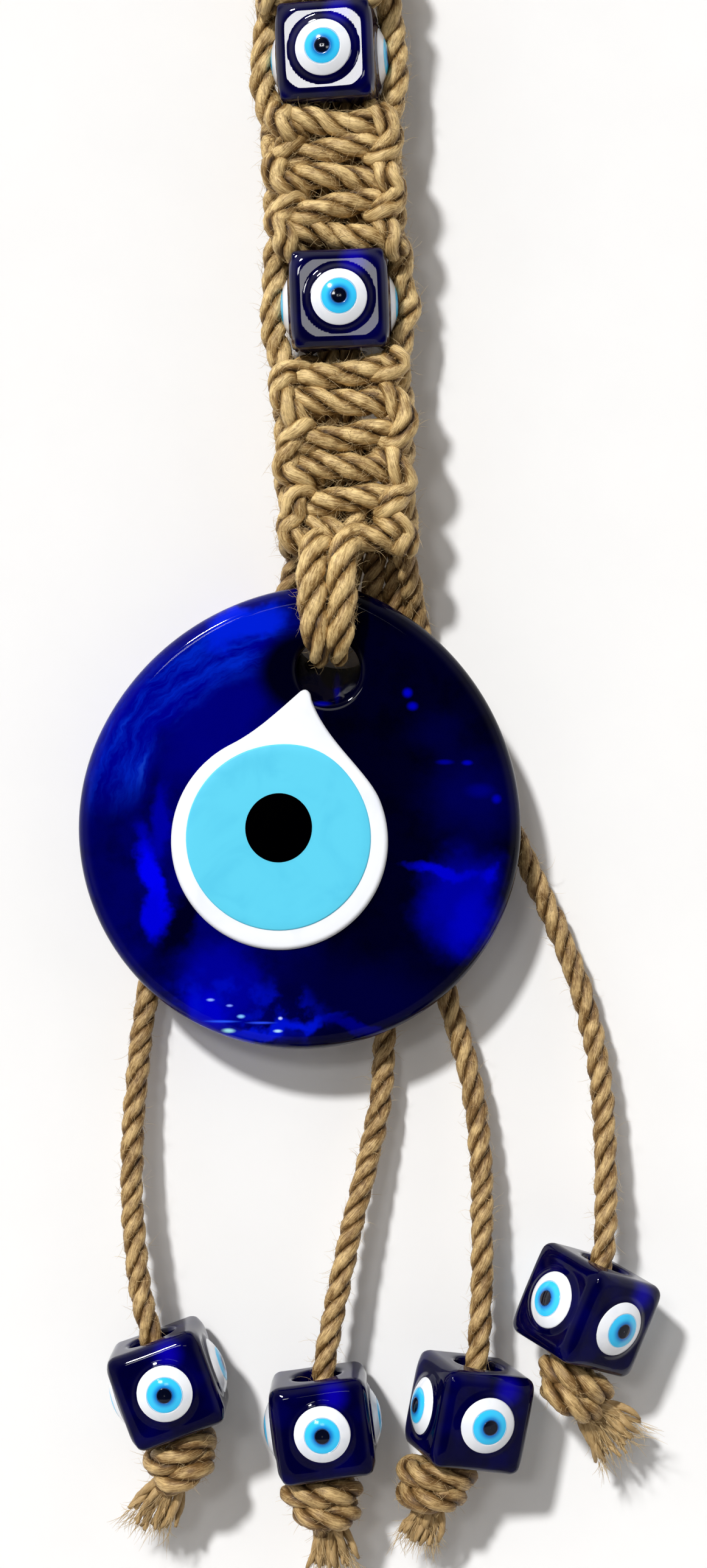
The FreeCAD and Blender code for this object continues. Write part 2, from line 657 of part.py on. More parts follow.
def make_tassel(number):
    """A hanging cord in two pieces, with its stopper knot and frayed end."""
    upper, lower = CORD_ROUTES[number]
    last_fixed, first_free = Vector(*upper[-1]), Vector(*lower[0])
    hinge = (last_fixed + first_free) / 2
    stop = toward(hinge, last_fixed, dim("cord_diameter") / 2 + HINGE_GAP)
    add_cord(f"tassel_cord_{number}_upper", upper + [tuple(stop)])
    add_cord(f"tassel_cord_{number}_lower", [tuple(hinge)] + lower, hinge)
    print(f"tassel {number} hinge at {tuple(round(value, 3) for value in hinge)}")

    bead = bead_placement(f"tassel_bead_{number}")
    below = dim("bead_size") / 2 + dim("stopper_half_height") + 0.4
    roll = Rotation(Vector(0, 1, 0), BEADS[f"tassel_bead_{number}"][1])
    centre = bead.Base + roll.multVec(Vector(STOPPER_SHIFT[number], 0, -below))
    knot = doc.addObject("Part::Ellipsoid", f"stopper_knot_{number}")
    knot.Angle1 = -90
    knot.Angle2 = 90
    knot.setExpression("Radius1", "Dims.stopper_half_height")
    knot.setExpression("Radius2", "Dims.stopper_half_width")
    knot.setExpression("Radius3", "Dims.stopper_half_depth")
    keep(knot, f"stopper_knot_{number}", Placement(centre, roll))

    direction, length = FRAYED_ENDS[number]
    start = toward(centre, centre + direction, FRAY_START)
    end = doc.addObject("Part::Cone", f"frayed_end_{number}")
    end.setExpression("Radius1", "Dims.cord_diameter / 2")
    end.setExpression("Radius2", "Dims.frayed_end_radius")
    end.Height = length
    keep(end, f"frayed_end_{number}",
         Placement(start, Rotation(Vector(0, 0, 1), direction)))


# ---------------------------------------------------------------- build and export
def check_document():
    """Stop on any failed object, and on any sub-part that is empty or broken."""
    for obj in doc.Objects:
        if "Invalid" in obj.State or "Error" in obj.State:
            raise RuntimeError(f"{obj.Label} failed: {obj.State}")
    for label, obj in subparts.items():
        if obj.Shape.isNull() or not obj.Shape.isValid():
            raise RuntimeError(f"{label} has no valid shape")
        if not obj.Shape.Solids:
            raise RuntimeError(f"{label} holds no solid")


def main():
    make_hanging_loop()
    make_core_cords()
    make_knot_band("square_knots_top", "top_knots", "top_knots_z",
                   "knot_height_short", "knot_pitch_short")
    make_knot_band("square_knots_middle", "middle_knots", "middle_knots_z",
                   "knot_height_short", "knot_pitch_short")
    make_knot_band("square_knots_lower", "lower_knots", "lower_knots_z",
                   "knot_height_tall", "knot_pitch_tall")
    make_side_cords()
    for name in BEADS:
        make_bead(name)
    make_disc()
    make_eye_white()
    make_round_layer("eye_iris", "eye_iris_radius", "eye_iris_thickness",
                     EYE_IRIS_AT, dim("eye_white_thickness"))
    make_round_layer("eye_pupil", "eye_pupil_radius", "eye_pupil_thickness",
                     EYE_PUPIL_AT, dim("eye_white_thickness") + dim("eye_iris_thickness"))
    make_sling()
    for number in CORD_ROUTES:
        make_tassel(number)
    doc.recompute()
    check_document()
    os.makedirs("parts", exist_ok=True)
    for label, obj in subparts.items():
        obj.Shape.exportStep(f"parts/{label}.step")
    print(f"{len(subparts)} sub-parts written")


main()
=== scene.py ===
"""A hanging glass eye ornament: knotted jute strap, cube glass beads, a glass disc in a rope sling
and four cord tassels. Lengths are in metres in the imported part's own frame, or in millimetres
where a comment says so."""

import math

import bmesh
import bpy
import numpy as np
from mathutils import Matrix, Vector


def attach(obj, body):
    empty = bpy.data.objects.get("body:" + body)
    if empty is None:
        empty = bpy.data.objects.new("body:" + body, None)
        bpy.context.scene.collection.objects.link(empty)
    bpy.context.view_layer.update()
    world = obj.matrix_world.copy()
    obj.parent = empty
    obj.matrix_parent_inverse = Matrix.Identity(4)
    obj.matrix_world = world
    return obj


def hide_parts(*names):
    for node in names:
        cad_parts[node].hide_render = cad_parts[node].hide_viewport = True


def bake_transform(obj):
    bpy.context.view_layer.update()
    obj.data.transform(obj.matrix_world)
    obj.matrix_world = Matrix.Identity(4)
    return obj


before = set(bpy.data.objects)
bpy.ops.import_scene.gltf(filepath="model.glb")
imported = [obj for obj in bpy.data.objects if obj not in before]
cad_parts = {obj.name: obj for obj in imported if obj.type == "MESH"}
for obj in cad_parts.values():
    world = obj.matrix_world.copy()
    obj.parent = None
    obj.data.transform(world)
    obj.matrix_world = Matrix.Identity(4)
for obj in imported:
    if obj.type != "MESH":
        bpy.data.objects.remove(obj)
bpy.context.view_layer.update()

MM = 0.001
TAU = 2 * math.pi

# ---------------------------------------------------------------- sizes and places
CAMERA_AT = (-0.69 * MM, -430 * MM, -170 * MM)
CAMERA_ROLL = 2.23              # degrees, clockwise
CAMERA_LENS = 62.14             # millimetres, on a 36 mm sensor's long side
WALL_Y = 10.4 * MM
FLOOR_Z = -0.42

ROPE_DIAMETER = 3.5 * MM
ROPE_LAY = 11.2 * MM            # one full turn of a ply round the rope
ROPE_STEP = 0.5 * MM
PLY_SIDES = 14
PLY_OFFSET = 0.262              # of the rope's diameter, from its middle to a ply's
PLY_RADIUS = 0.252              # of the rope's diameter
FIBRE_TWIST = 12 * MM           # one full turn of the fibres in a ply, against the plies' twist
HAIR_RADIUS = (0.016 * MM, 0.036 * MM)
SHORTEST_HAIR = 0.9 * MM
TASSEL_CORD = 3.7 * MM
SLING_CORD = 4.95 * MM
SLING_LAY = 14 * MM
KNOT_CORD = 4.3 * MM
KNOT_LAY = 12 * MM
KNOT_FUZZ_RADIUS = 1.95 * MM
FRAY_CORD = 2.5 * MM            # each strand is one ply of a cord this thick
FRAY_LAY = 22 * MM
FRAY_STRANDS = 17
FRAY_HAIRS = 420
FRAY_HAIR_RADIUS = (0.03, 0.065)        # millimetres

CORE_X = 1.85 * MM
STRAP_CORD = 4.25 * MM          # the working cords look fuller where they are knotted
STRAP_LAY = 13.5 * MM
STRAP_WANDER = 0.36 * MM        # how far its cords stray from where they are laid
BAR_FRONT_Y = -3.9              # millimetres
# First bar's height, number of bars, pitch in millimetres, and the side the first bar starts on.
KNOT_SECTIONS = ((-35.2, 3, 4.5, -1), (-65.7, 5, 4.5, 1), (-105.05, 6, 5.05, -1))
ROUTES_MM = {                   # each tassel's control points, from the last knot down
    1: [(-8.2, 2.8, -132.65), (-9.4, 6, -137.6), (-13.4, 6.6, -146), (-20, 6.6, -158.5),
        (-27, 6.6, -173.5), (-32.3, 6.5, -188), (-35.2, 6.4, -201.5), (-37.6, 5.4, -217),
        (-38.8, 3.4, -231), (-38.4, 1.4, -244.5), (-36.9, 0.2, -255), (-33.9, 0, -264.2),
        (-32.2, 0.2, -275)],
    2: [(4.4, 3.4, -132.65), (3.6, 6, -138), (3.1, 6.6, -146), (3.3, 6.6, -156), (3.8, 6.6, -168),
        (3.9, 6.5, -181), (3.6, 6.4, -195.5), (2.9, 6.4, -208.5), (2, 5.7, -220.5),
        (-1.3, 3.8, -232.5), (-4.6, 2.2, -244), (-7.2, 0.9, -254.5), (-9.2, 0.2, -262.5),
        (-9.5, 0, -271.6), (-9.8, 0.2, -282.3)],
    3: [(8.05, 3, -132.65), (7.1, 5.8, -137.6), (6.8, 6.6, -146), (7.1, 6.6, -157), (8, 6.6, -169),
        (9.1, 6.5, -182), (10.4, 6.4, -195), (13.6, 6.3, -207), (16.6, 5.5, -218.5),
        (17.5, 4, -230.5), (17.1, 2.6, -242.5), (16.5, 1.2, -253.5), (15.5, 0.2, -262),
        (13.4, 0, -270.8), (8.9, 0.2, -280.6)],
    4: [(8.4, -1, -132.65), (9.3, 0.6, -136.4), (10, 4.2, -140.2), (10.6, 6.8, -144.6),
        (12, 6.9, -151), (14.8, 6.8, -159), (19, 6.7, -168), (24, 6.6, -177), (28.2, 6.5, -187),
        (32.2, 6.3, -196.8), (35.4, 5.5, -207), (37.3, 4.2, -219), (37.3, 2.4, -231.5),
        (36.8, 0.6, -240), (36, -0.6, -247), (33.1, -1, -254.8), (30, -0.9, -265.3)],
}
TASSEL_ROUTES = {number: [tuple(round(value * MM, 6) for value in point) for point in route]
                 for number, route in ROUTES_MM.items()}

BEADS = {                       # centre, roll clockwise from the front, yaw about the hole
    "strap_bead_upper": ((0, 0, -0.055), 0, -7),
    "strap_bead_lower": ((0, 0, -0.094), 0, 0),
    "tassel_bead_1": ((-0.0338, 0, -0.2639), -17.8, 0),
    "tassel_bead_2": ((-0.0095, 0, -0.2712), -5.3, 0),
    "tassel_bead_3": ((0.0138, 0, -0.2703), 13.2, 19),
    "tassel_bead_4": ((0.0330, -0.0010, -0.2546), 24.2, 37),
}
BEAD_BODY = {name: f"bead_{name[-1]}" if name.startswith("tassel") else "root" for name in BEADS}
BEAD_HALF = 7.75 * MM
BEAD_EDGES = {"strap": 1.5 * MM, "tassel": 2.0 * MM}
BEAD_HOLE = 3.8 * MM
BEAD_LIP = 0.7 * MM             # rounds the hole's ends
DOME_RADIUS = 7.93 * MM
DROP_RADII = {"whites": 4.5 * MM, "irises": 2.85 * MM, "pupils": 1.25 * MM}
DROP_DEPTH = 0.35 * MM          # each drop's layers go this far in
DROP_LIFT = 0.30 * MM           # and the dome stands this far off the cube
PLATEAU = 0.36 * MM             # how far each face swells under its drop

DISC_CENTRE = (-9.46 * MM, -0.25 * MM, -176.62 * MM)
DISC_ROLL = 12.6                # degrees, clockwise
DISC_SIDES = 240
DISC_RADIUS = 35.0              # millimetres, as are the arcs that make its shoulders and top
SHOULDER_ARC = (5.795, -1.553, 41.0)
TOP_ARC = (28.9, 10.0)
DISC_FRONT = -4.25 * MM         # from the disc's own middle plane
DISC_BACK = 4.25 * MM
RIM_RADIUS = 2.6 * MM
HOLE_FRONT = ((0, 25.4 * MM), (5.0 * MM, 5.0 * MM))     # centre and half sizes, in the disc's plane
HOLE_BACK = ((0, 28.6 * MM), (5.3 * MM, 2.6 * MM))
HOLE_EDGE = 1.2 * MM


def link(thing):
    bpy.context.scene.collection.objects.link(thing)
    return thing


# ---------------------------------------------------------------- node materials
def new_material(name, **sockets):
    material = bpy.data.materials.new(name)
    material.use_nodes = True
    shader = material.node_tree.nodes["Principled BSDF"]
    for socket, value in sockets.items():
        shader.inputs[socket.replace("_", " ")].default_value = value
    return material, material.node_tree, shader


def add_node(tree, kind, inputs=None, **settings):
    """A new node. An input is a value, a colour, or another node's output socket."""
    node = tree.nodes.new("ShaderNode" + kind)
    for name, value in settings.items():
        setattr(node, name, value)
    for name, value in (inputs or {}).items():
        socket = node.inputs[name]
        if isinstance(value, bpy.types.NodeSocket):
            tree.links.new(value, socket)
        else:
            socket.default_value = (*value, 1) if socket.type == "RGBA" else value
    return node


def math_node(tree, operation, a, b=0.0):
    return add_node(tree, "Math", {0: a, 1: b}, operation=operation).outputs[0]


def times(tree, a, b):
    return math_node(tree, "MULTIPLY", a, b)


def mix_colour(tree, factor, a, b, blend="MIX"):
    return add_node(tree, "Mix", {0: factor, 6: a, 7: b}, data_type="RGBA",
                    blend_type=blend).outputs[2]


def colour_ramp(tree, factor, stops):
    node = add_node(tree, "ValToRGB", {"Fac": factor})
    elements = node.color_ramp.elements
    while len(elements) < len(stops):
        elements.new(0.5)
    for element, (place, colour) in zip(elements, stops):
        element.position = place
        element.color = (*colour, 1)
    return node.outputs["Color"]


def map_range(tree, value, low, high, new_low=0.0, new_high=1.0, smooth=True):
    node = add_node(tree, "MapRange", {"Value": value, "From Min": low, "From Max": high,
                                       "To Min": new_low, "To Max": new_high})
    node.interpolation_type = "SMOOTHSTEP" if smooth else "LINEAR"
    return node.outputs["Result"]


def noise(tree, vector, scale, detail=3.0, roughness=0.55, output="Fac"):
    node = add_node(tree, "TexNoise", {"Vector": vector, "Scale": scale, "Detail": detail,
                                       "Roughness": roughness})
    return node.outputs[output]


def jute(name, shadow, middle, light, ply_shade_share):
    """Twisted bast fibre. fibre runs along each ply, and groove is 0 deep between the plies."""
    material, tree, shader = new_material(name, Roughness=0.50, Specular_IOR_Level=0.32)
    fibre = add_node(tree, "Attribute", attribute_name="fibre").outputs["Vector"]
    groove = add_node(tree, "Attribute", attribute_name="groove").outputs["Fac"]
    stretched = add_node(tree, "Mapping", {"Vector": fibre, "Scale": (1, 1, 0.16)})
    streak = noise(tree, stretched.outputs["Vector"], 5.5, 4.0, 0.65)
    patch = noise(tree, fibre, 0.55, 3.0)
    tone = math_node(tree, "ADD", times(tree, streak, 0.62), times(tree, patch, 0.46))
    # Painted shade and highlight: the colour is darker where a ply faces into the rope, between the
    # plies, and lighter on the plies' crests.
    painted_ply_shade = map_range(tree, groove, 0.25, 1.0, -ply_shade_share, ply_shade_share)
    tone = math_node(tree, "ADD", tone, painted_ply_shade)
    colour = colour_ramp(tree, tone, [(0.34, shadow), (0.60, middle), (0.84, light)])
    tree.links.new(colour, shader.inputs["Base Color"])
    bump = add_node(tree, "Bump", {"Height": streak, "Strength": 0.9, "Distance": 0.11 * MM})
    tree.links.new(bump.outputs["Normal"], shader.inputs["Normal"])
    return material


# Straight rope, fuller knotted rope, loose hairs, and ends that have opened.
ROPE = jute("jute_rope", (0.034, 0.014, 0.003), (0.185, 0.098, 0.029), (0.70, 0.49, 0.22), 0.16)
KNOTTED = jute("jute_knotted", (0.040, 0.017, 0.004), (0.250, 0.140, 0.040), (0.86, 0.63, 0.29),
               0.19)
HAIR = jute("jute_hair", (0.42, 0.29, 0.13), (0.64, 0.47, 0.24), (0.92, 0.78, 0.52), 0.0)
FUZZ = jute("jute_fuzz", (0.26, 0.155, 0.055), (0.48, 0.32, 0.14), (0.84, 0.65, 0.38), 0.0)


def disc_plane(tree):
    """Places on the disc's face, in millimetres from its centre, x to the right and z up."""
    place = add_node(tree, "TexCoord").outputs["Object"]
    local = add_node(tree, "Mapping", {
        "Vector": place, "Location": (DISC_CENTRE[0], 0, DISC_CENTRE[2]),
        "Rotation": (0, math.radians(CAMERA_ROLL), 0), "Scale": (MM, 1e6, MM)},
        vector_type="TEXTURE")
    return local.outputs["Vector"]


def distance_from(tree, place, centre, size, turn=(0, 0, 0)):
    """How far a place is from the centre, where 1 is the size that is given along each axis."""
    local = add_node(tree, "Mapping", {"Vector": place, "Location": centre, "Rotation": turn,
                                       "Scale": size}, vector_type="TEXTURE")
    return add_node(tree, "VectorMath", {0: local.outputs["Vector"]},
                    operation="LENGTH").outputs["Value"]


def blob(tree, plane, centre, size, turn=0.0, soft=0.6):
    """1 inside an oval on the disc's plane and 0 outside, with a soft edge. Millimetres."""
    length = distance_from(tree, plane, (centre[0], 0, centre[1]), (size[0], 1, size[1]),
                           (0, math.radians(turn), 0))
    return map_range(tree, length, 1.0 - soft, 1.0 + 0.2 * soft, 1.0, 0.0)


def polar(tree, plane):
    """Distance from the disc's centre in millimetres, and the angle round it in radians."""
    parts = add_node(tree, "SeparateXYZ", {0: plane})
    distance = add_node(tree, "VectorMath", {0: plane}, operation="LENGTH").outputs["Value"]
    angle = math_node(tree, "ARCTAN2", parts.outputs["Z"], parts.outputs["X"])
    return distance, angle


def blue(level, green=0.0):
    return (0.0, green, level)


def disc_glass():
    """Deep cobalt glass with painted light and shade in its colour: the brighter sheets and glints
    that light makes inside it, and darker parts.
    """
    material, tree, shader = new_material("cobalt_disc", Roughness=0.05, IOR=1.3,
                                          Specular_IOR_Level=0.25)
    plane = disc_plane(tree)
    wander = noise(tree, plane, 0.13, 4.0, 0.62, "Color")
    shift = add_node(tree, "VectorMath", {0: wander, 1: (0.5, 0.5, 0.5)}, operation="SUBTRACT")
    bent = add_node(tree, "VectorMath", {0: shift.outputs[0], 1: (8, 0, 8), 2: plane},
                    operation="MULTIPLY_ADD").outputs[0]
    distance, angle = polar(tree, plane)
    wobble = noise(tree, plane, 0.10, 4.0, 0.62)
    uneven = math_node(tree, "ADD", distance, times(tree, wobble, 6.0))
    rounds = add_node(tree, "CombineXYZ", {"X": times(tree, uneven, 0.55),
                                           "Y": times(tree, angle, 2.2)})
    swirl = noise(tree, rounds.outputs["Vector"], 1.0, 5.0, 0.66)

    # Painted light and shade: the glass is brighter toward the left of the disc and nearly black
    # toward the right.
    across = add_node(tree, "SeparateXYZ", {0: bent}).outputs["X"]
    colour = colour_ramp(tree, map_range(tree, across, -34, 26, smooth=False), [
        (0.0, blue(0.085)), (0.30, blue(0.115)), (0.52, blue(0.090)),
        (0.64, blue(0.008)), (1.0, blue(0.012))])
    clouds = map_range(tree, noise(tree, plane, 0.16, 4.0, 0.6), 0.40, 0.70)
    colour = mix_colour(tree, clouds, colour, (0.45, 0.45, 0.45), "MULTIPLY")

    # Painted light and shade: brighter and darker patches over the glass.
    painted_patches = [  # centre, size, turn, softness, how much, colour
        ((8, -27), (23, 10), 10, 0.8, 0.85, blue(0.035)),
        ((27, 5), (9, 9), 20, 0.9, 0.75, blue(0.085)),
        ((22, 15), (6, 5), 0, 0.9, 0.45, blue(0.060)),
        ((-31, -2), (3.5, 17), 8, 0.9, 0.5, blue(0.080)),
        ((-13.5, 17), (14, 7), -40, 0.6, 0.85, blue(0.175)),
    ]
    for centre, size, turn, soft, share, tint in painted_patches:
        part = times(tree, blob(tree, bent, centre, size, turn, soft), share)
        colour = mix_colour(tree, part, colour, tint)

    # Painted light: the bright band that follows the rim at the upper left, with a darker core
    # inside it.
    ring = times(tree, map_range(tree, uneven, 27.0, 30.5),
                 map_range(tree, uneven, 35.5, 38.5, 1.0, 0.15))
    painted_rim_band = times(tree, ring, blob(tree, plane, (-19.5, 23), (27, 13), -47, 0.45))
    painted_glow = mix_colour(tree, map_range(tree, swirl, 0.38, 0.72), blue(0.24), blue(0.50, 0.018))
    colour = mix_colour(tree, painted_rim_band, colour, painted_glow)
    # Painted highlight: a bright patch at the top of the disc.
    top = blob(tree, bent, (-8.5, 32), (7.5, 3.6), -20, 0.5)
    colour = mix_colour(tree, top, colour, blue(0.62, 0.012))
    # Painted light: a paler streak near the upper left rim.
    pale = times(tree, map_range(tree, swirl, 0.54, 0.72),
                 blob(tree, plane, (-27, 15), (3.4, 12), -28, 0.8))
    colour = mix_colour(tree, times(tree, pale, 0.35), colour, (0.02, 0.09, 0.50))

    # Painted light: bright sheets where light gathers inside the glass, and one dark sheet among
    # them.
    sheets = [  # centre, size, turn, softness, colour
        ((-21.5, 0.5), (2.2, 8.0), 8, 0.7, blue(0.30)),
        ((-23.0, -8.5), (2.3, 10.5), -14, 0.55, blue(0.78)),
        ((-22.8, -13.5), (2.6, 5.0), -8, 0.6, blue(0.62)),
        ((-18.6, -14.5), (2.9, 9.5), 32, 0.6, blue(0.012)),
        ((-12.5, -25.0), (8.0, 8.5), 28, 0.55, blue(0.27)),
        ((-14.5, -29.0), (5.0, 3.6), 30, 0.6, blue(0.50)),
        ((25.0, -11.5), (8.0, 10.0), 22, 0.65, blue(0.30)),
        ((27.0, -15.0), (4.0, 6.0), 22, 0.8, blue(0.42)),
        ((22.5, -6.6), (6.0, 1.5), 6, 0.6, blue(0.52)),
        ((29.5, -7.5), (1.8, 2.2), 0, 0.7, blue(0.50)),
        ((-7.0, -32.6), (15.0, 1.3), -11, 0.6, blue(0.60, 0.006)),
        ((9.0, -31.8), (8.5, 1.2), 15, 0.7, blue(0.16)),
    ]
    for centre, size, turn, soft, tint in sheets:
        colour = mix_colour(tree, blob(tree, bent, centre, size, turn, soft), colour, tint)
    # Painted light: a mottled bright fan low on the disc.
    fan = times(tree, map_range(tree, noise(tree, plane, 0.26, 4.0), 0.44, 0.64),
                blob(tree, bent, (-8.5, -28.5), (15, 6), 8, 0.5))
    colour = mix_colour(tree, times(tree, fan, 0.6), colour, blue(0.52, 0.004))
    # Painted glints: small bright spots of light on the glass.
    glints = [  # centre, size, colour
        ((17.0, 21.3), (0.9, 0.9), blue(0.48)), ((17.8, 19.2), (1.0, 0.8), blue(0.42)),
        ((26.4, 10.3), (1.0, 0.5), blue(0.42)), ((22.9, 10.4), (1.6, 0.5), blue(0.24)),
        ((31.0, 4.6), (0.9, 0.9), blue(0.36)), ((28.4, 5.9), (2.8, 1.4), blue(0.15)),
        ((-14.0, -27.0), (0.7, 0.28), (0.25, 0.4, 1.0)),
        ((-11.0, -27.9), (0.6, 0.25), (0.2, 0.3, 1.0)),
        ((-9.2, -29.6), (0.7, 0.35), (0.2, 0.5, 1.0)),
        ((-11.2, -31.9), (1.2, 0.45), (0.4, 0.9, 1.0)),
        ((-12.4, -30.4), (3.2, 0.25), (0.02, 0.08, 0.9)),
        ((-6.0, -30.6), (2.6, 0.25), (0.02, 0.06, 0.8)),
        ((-3.0, -29.9), (0.4, 0.3), (0.5, 0.6, 1.0)), ((-3.4, -31.9), (0.8, 0.3), (0.4, 0.7, 1.0)),
    ]
    for centre, size, tint in glints:
        colour = mix_colour(tree, blob(tree, plane, centre, size, 0, 0.8), colour, tint)
    # Painted shade: the glass round the hole is nearly black, with three painted glints by it.
    painted_hole_shade = blob(tree, plane, (1.0, 24.6), (8.6, 7.6), 0, 0.35)
    colour = mix_colour(tree, painted_hole_shade, colour, blue(0.006))
    for centre, size, tint in (((0.9, 18.9), (0.9, 0.35), (0.6, 0.6, 0.7)),
                               ((5.9, 23.0), (0.7, 3.4), blue(0.16)),
                               ((3.6, 19.6), (1.6, 0.5), blue(0.20))):
        colour = mix_colour(tree, blob(tree, plane, centre, size, 0, 0.8), colour, tint)
    tree.links.new(colour, shader.inputs["Base Color"])
    return material


def bead_glass(name, spot, spot_size):
    """Near-black cobalt with painted light: a brighter patch where light gathers inside the cube."""
    shine = 0.15 if "tassel" in name else 0.5
    material, tree, shader = new_material(name, Roughness=0.035, IOR=1.5, Specular_IOR_Level=shine)
    place = add_node(tree, "TexCoord").outputs["Object"]
    cloud = noise(tree, place, 160.0, 2.0)
    deep, less_deep = (0.0002, 0.0, 0.022), (0.0002, 0.0, 0.050)
    colour = mix_colour(tree, map_range(tree, cloud, 0.42, 0.7), deep, less_deep)
    # Painted light: the patch is brightest at its centre and fades out over its size.
    painted_glow = map_range(tree, distance_from(tree, place, spot, (spot_size,) * 3), 0.0, 1.0, 1.0, 0.0)
    tree.links.new(mix_colour(tree, painted_glow, colour, (0.003, 0.0, 0.36)), shader.inputs["Base Color"])
    return material


def ringed_glass(name, inner, outer, roughness):
    """Opal glass that deepens toward the middle of the eye. groove is 0 at the inner edge."""
    material, tree, shader = new_material(name, Roughness=roughness, IOR=1.5)
    out = add_node(tree, "Attribute", attribute_name="groove").outputs["Fac"]
    tree.links.new(mix_colour(tree, map_range(tree, out, 0.0, 0.62), inner, outer),
                   shader.inputs["Base Color"])
    return material


def opaque_glass(name, colour, second, roughness, grain, shine=0.5):
    """Opal glass with faint stirred streaks."""
    material, tree, shader = new_material(name, Roughness=roughness, IOR=1.5,
                                          Specular_IOR_Level=shine)
    place = add_node(tree, "TexCoord").outputs["Object"]
    stirred = add_node(tree, "TexNoise", {"Vector": place, "Scale": grain, "Detail": 3.0,
                                          "Distortion": 1.2}).outputs["Fac"]
    tree.links.new(mix_colour(tree, map_range(tree, stirred, 0.45, 0.75), colour, second),
                   shader.inputs["Base Color"])
    return material


DISC_GLASS = disc_glass()
WHITE_GLASS = opaque_glass("white_glass", (0.84, 0.86, 0.90), (0.76, 0.79, 0.86), 0.10, 220)
SKY_GLASS = ringed_glass("sky_glass", (0.004, 0.140, 0.52), (0.035, 0.56, 0.95), 0.10)
BLACK_GLASS = opaque_glass("black_glass", (0.001, 0.002, 0.010), (0.002, 0.003, 0.012), 0.06, 300)
EYE_WHITE = opaque_glass("eye_white", (0.88, 0.90, 0.94), (0.82, 0.85, 0.92), 0.4, 90, 0.2)
EYE_SKY = opaque_glass("eye_sky", (0.104, 0.61, 0.83), (0.088, 0.56, 0.79), 0.4, 110, 0.2)
EYE_BLACK = opaque_glass("eye_black", (0.0, 0.0, 0.0002), (0.0003, 0.0003, 0.0003), 0.5, 90, 0.0)


# ---------------------------------------------------------------- lines
def unit(vectors):
    return vectors / np.linalg.norm(vectors, axis=-1, keepdims=True)


def arc_length(line):
    return np.concatenate([[0], np.cumsum(np.linalg.norm(np.diff(line, axis=0), axis=1))])


def resample(line, step):
    """The same line with points evenly spaced along it."""
    along = arc_length(line)
    marks = np.linspace(0, along[-1], max(6, int(round(along[-1] / step))) + 1)
    return np.column_stack([np.interp(marks, along, line[:, axis]) for axis in range(3)])


def smooth_line(points, per_span=14):
    """A centripetal Catmull-Rom line through the points."""
    p = np.array(points, float)
    p = np.vstack([2 * p[0] - p[1], p, 2 * p[-1] - p[-2]])
    spans = []
    for a, b, c, d in zip(p, p[1:], p[2:], p[3:]):
        t = np.cumsum([0] + [math.sqrt(np.linalg.norm(q - r)) for q, r in ((b, a), (c, b), (d, c))])
        s = np.linspace(t[1], t[2], per_span, endpoint=False)[:, None]
        ab = a + (b - a) * (s - t[0]) / (t[1] - t[0])
        bc = b + (c - b) * (s - t[1]) / (t[2] - t[1])
        cd = c + (d - c) * (s - t[2]) / (t[3] - t[2])
        abc = ab + (bc - ab) * (s - t[0]) / (t[2] - t[0])
        bcd = bc + (cd - bc) * (s - t[1]) / (t[3] - t[1])
        spans.append(abc + (bcd - abc) * (s - t[1]) / (t[2] - t[1]))
    return np.vstack([*spans, p[-2:-1]])


def nurbs_line(name, points):
    """Points along the NURBS spline that has these control points."""
    curve = bpy.data.curves.new(name, "CURVE")
    curve.dimensions = "3D"
    curve.resolution_u = 24
    spline = curve.splines.new("NURBS")
    spline.points.add(len(points) - 1)
    for target, point in zip(spline.points, points):
        target.co = (*point, 1)
    spline.order_u = 3
    spline.use_endpoint_u = True
    holder = link(bpy.data.objects.new(name, curve))
    bpy.context.view_layer.update()
    mesh = bpy.data.meshes.new_from_object(holder)
    line = np.array([v.co for v in mesh.vertices], float)
    bpy.data.objects.remove(holder)
    bpy.data.meshes.remove(mesh)
    return line


def frames_along(line):
    """Tangents, and two directions across the line that turn as little as they can."""
    tangent = unit(np.gradient(line, axis=0))
    side = np.zeros_like(line)
    guess = np.array((1.0, 0, 0)) if abs(tangent[0][0]) < 0.8 else np.array((0, 0, 1.0))
    for i, direction in enumerate(tangent):
        guess = guess - direction * (guess @ direction)
        guess = guess / np.linalg.norm(guess)
        side[i] = guess
    return tangent, side, np.cross(tangent, side)


def wave(along, wavelength, rng):
    """A smooth wandering value from about -1 to 1 along a line."""
    total = np.zeros_like(along)
    for share, stretch in ((0.6, 1.0), (0.4, 0.43)):
        total += share * np.sin(TAU * along / (wavelength * stretch) + rng.uniform(0, TAU))
    return total


# ---------------------------------------------------------------- meshes
class Shell:
    """Points and faces of one piece, with the two values that the jute material reads."""

    def __init__(self):
        self.points, self.faces, self.fibre, self.groove = [], [], [], []
        self.count = 0

    def add(self, points, faces, fibre=None, groove=None):
        points = np.asarray(points, float).reshape(-1, 3)
        self.points.append(points)
        self.faces.extend([[i + self.count for i in face] for face in faces])
        self.fibre.append(points * 1000 if fibre is None else np.asarray(fibre).reshape(-1, 3))
        self.groove.append(np.ones(len(points)) if groove is None else np.asarray(groove).ravel())
        self.count += len(points)

    def build(self, name, material, bumps=True):
        mesh = bpy.data.meshes.new(name)
        mesh.from_pydata(np.vstack(self.points).tolist(), [], self.faces)
        if bumps:
            fibre = mesh.attributes.new("fibre", "FLOAT_VECTOR", "POINT")
            fibre.data.foreach_set("vector", np.vstack(self.fibre).astype(np.float32).ravel())
            groove = mesh.attributes.new("groove", "FLOAT", "POINT")
            groove.data.foreach_set("value", np.concatenate(self.groove).astype(np.float32))
        mesh.shade_smooth()
        mesh.materials.append(material)
        mesh.validate()
        return link(bpy.data.objects.new(name, mesh))


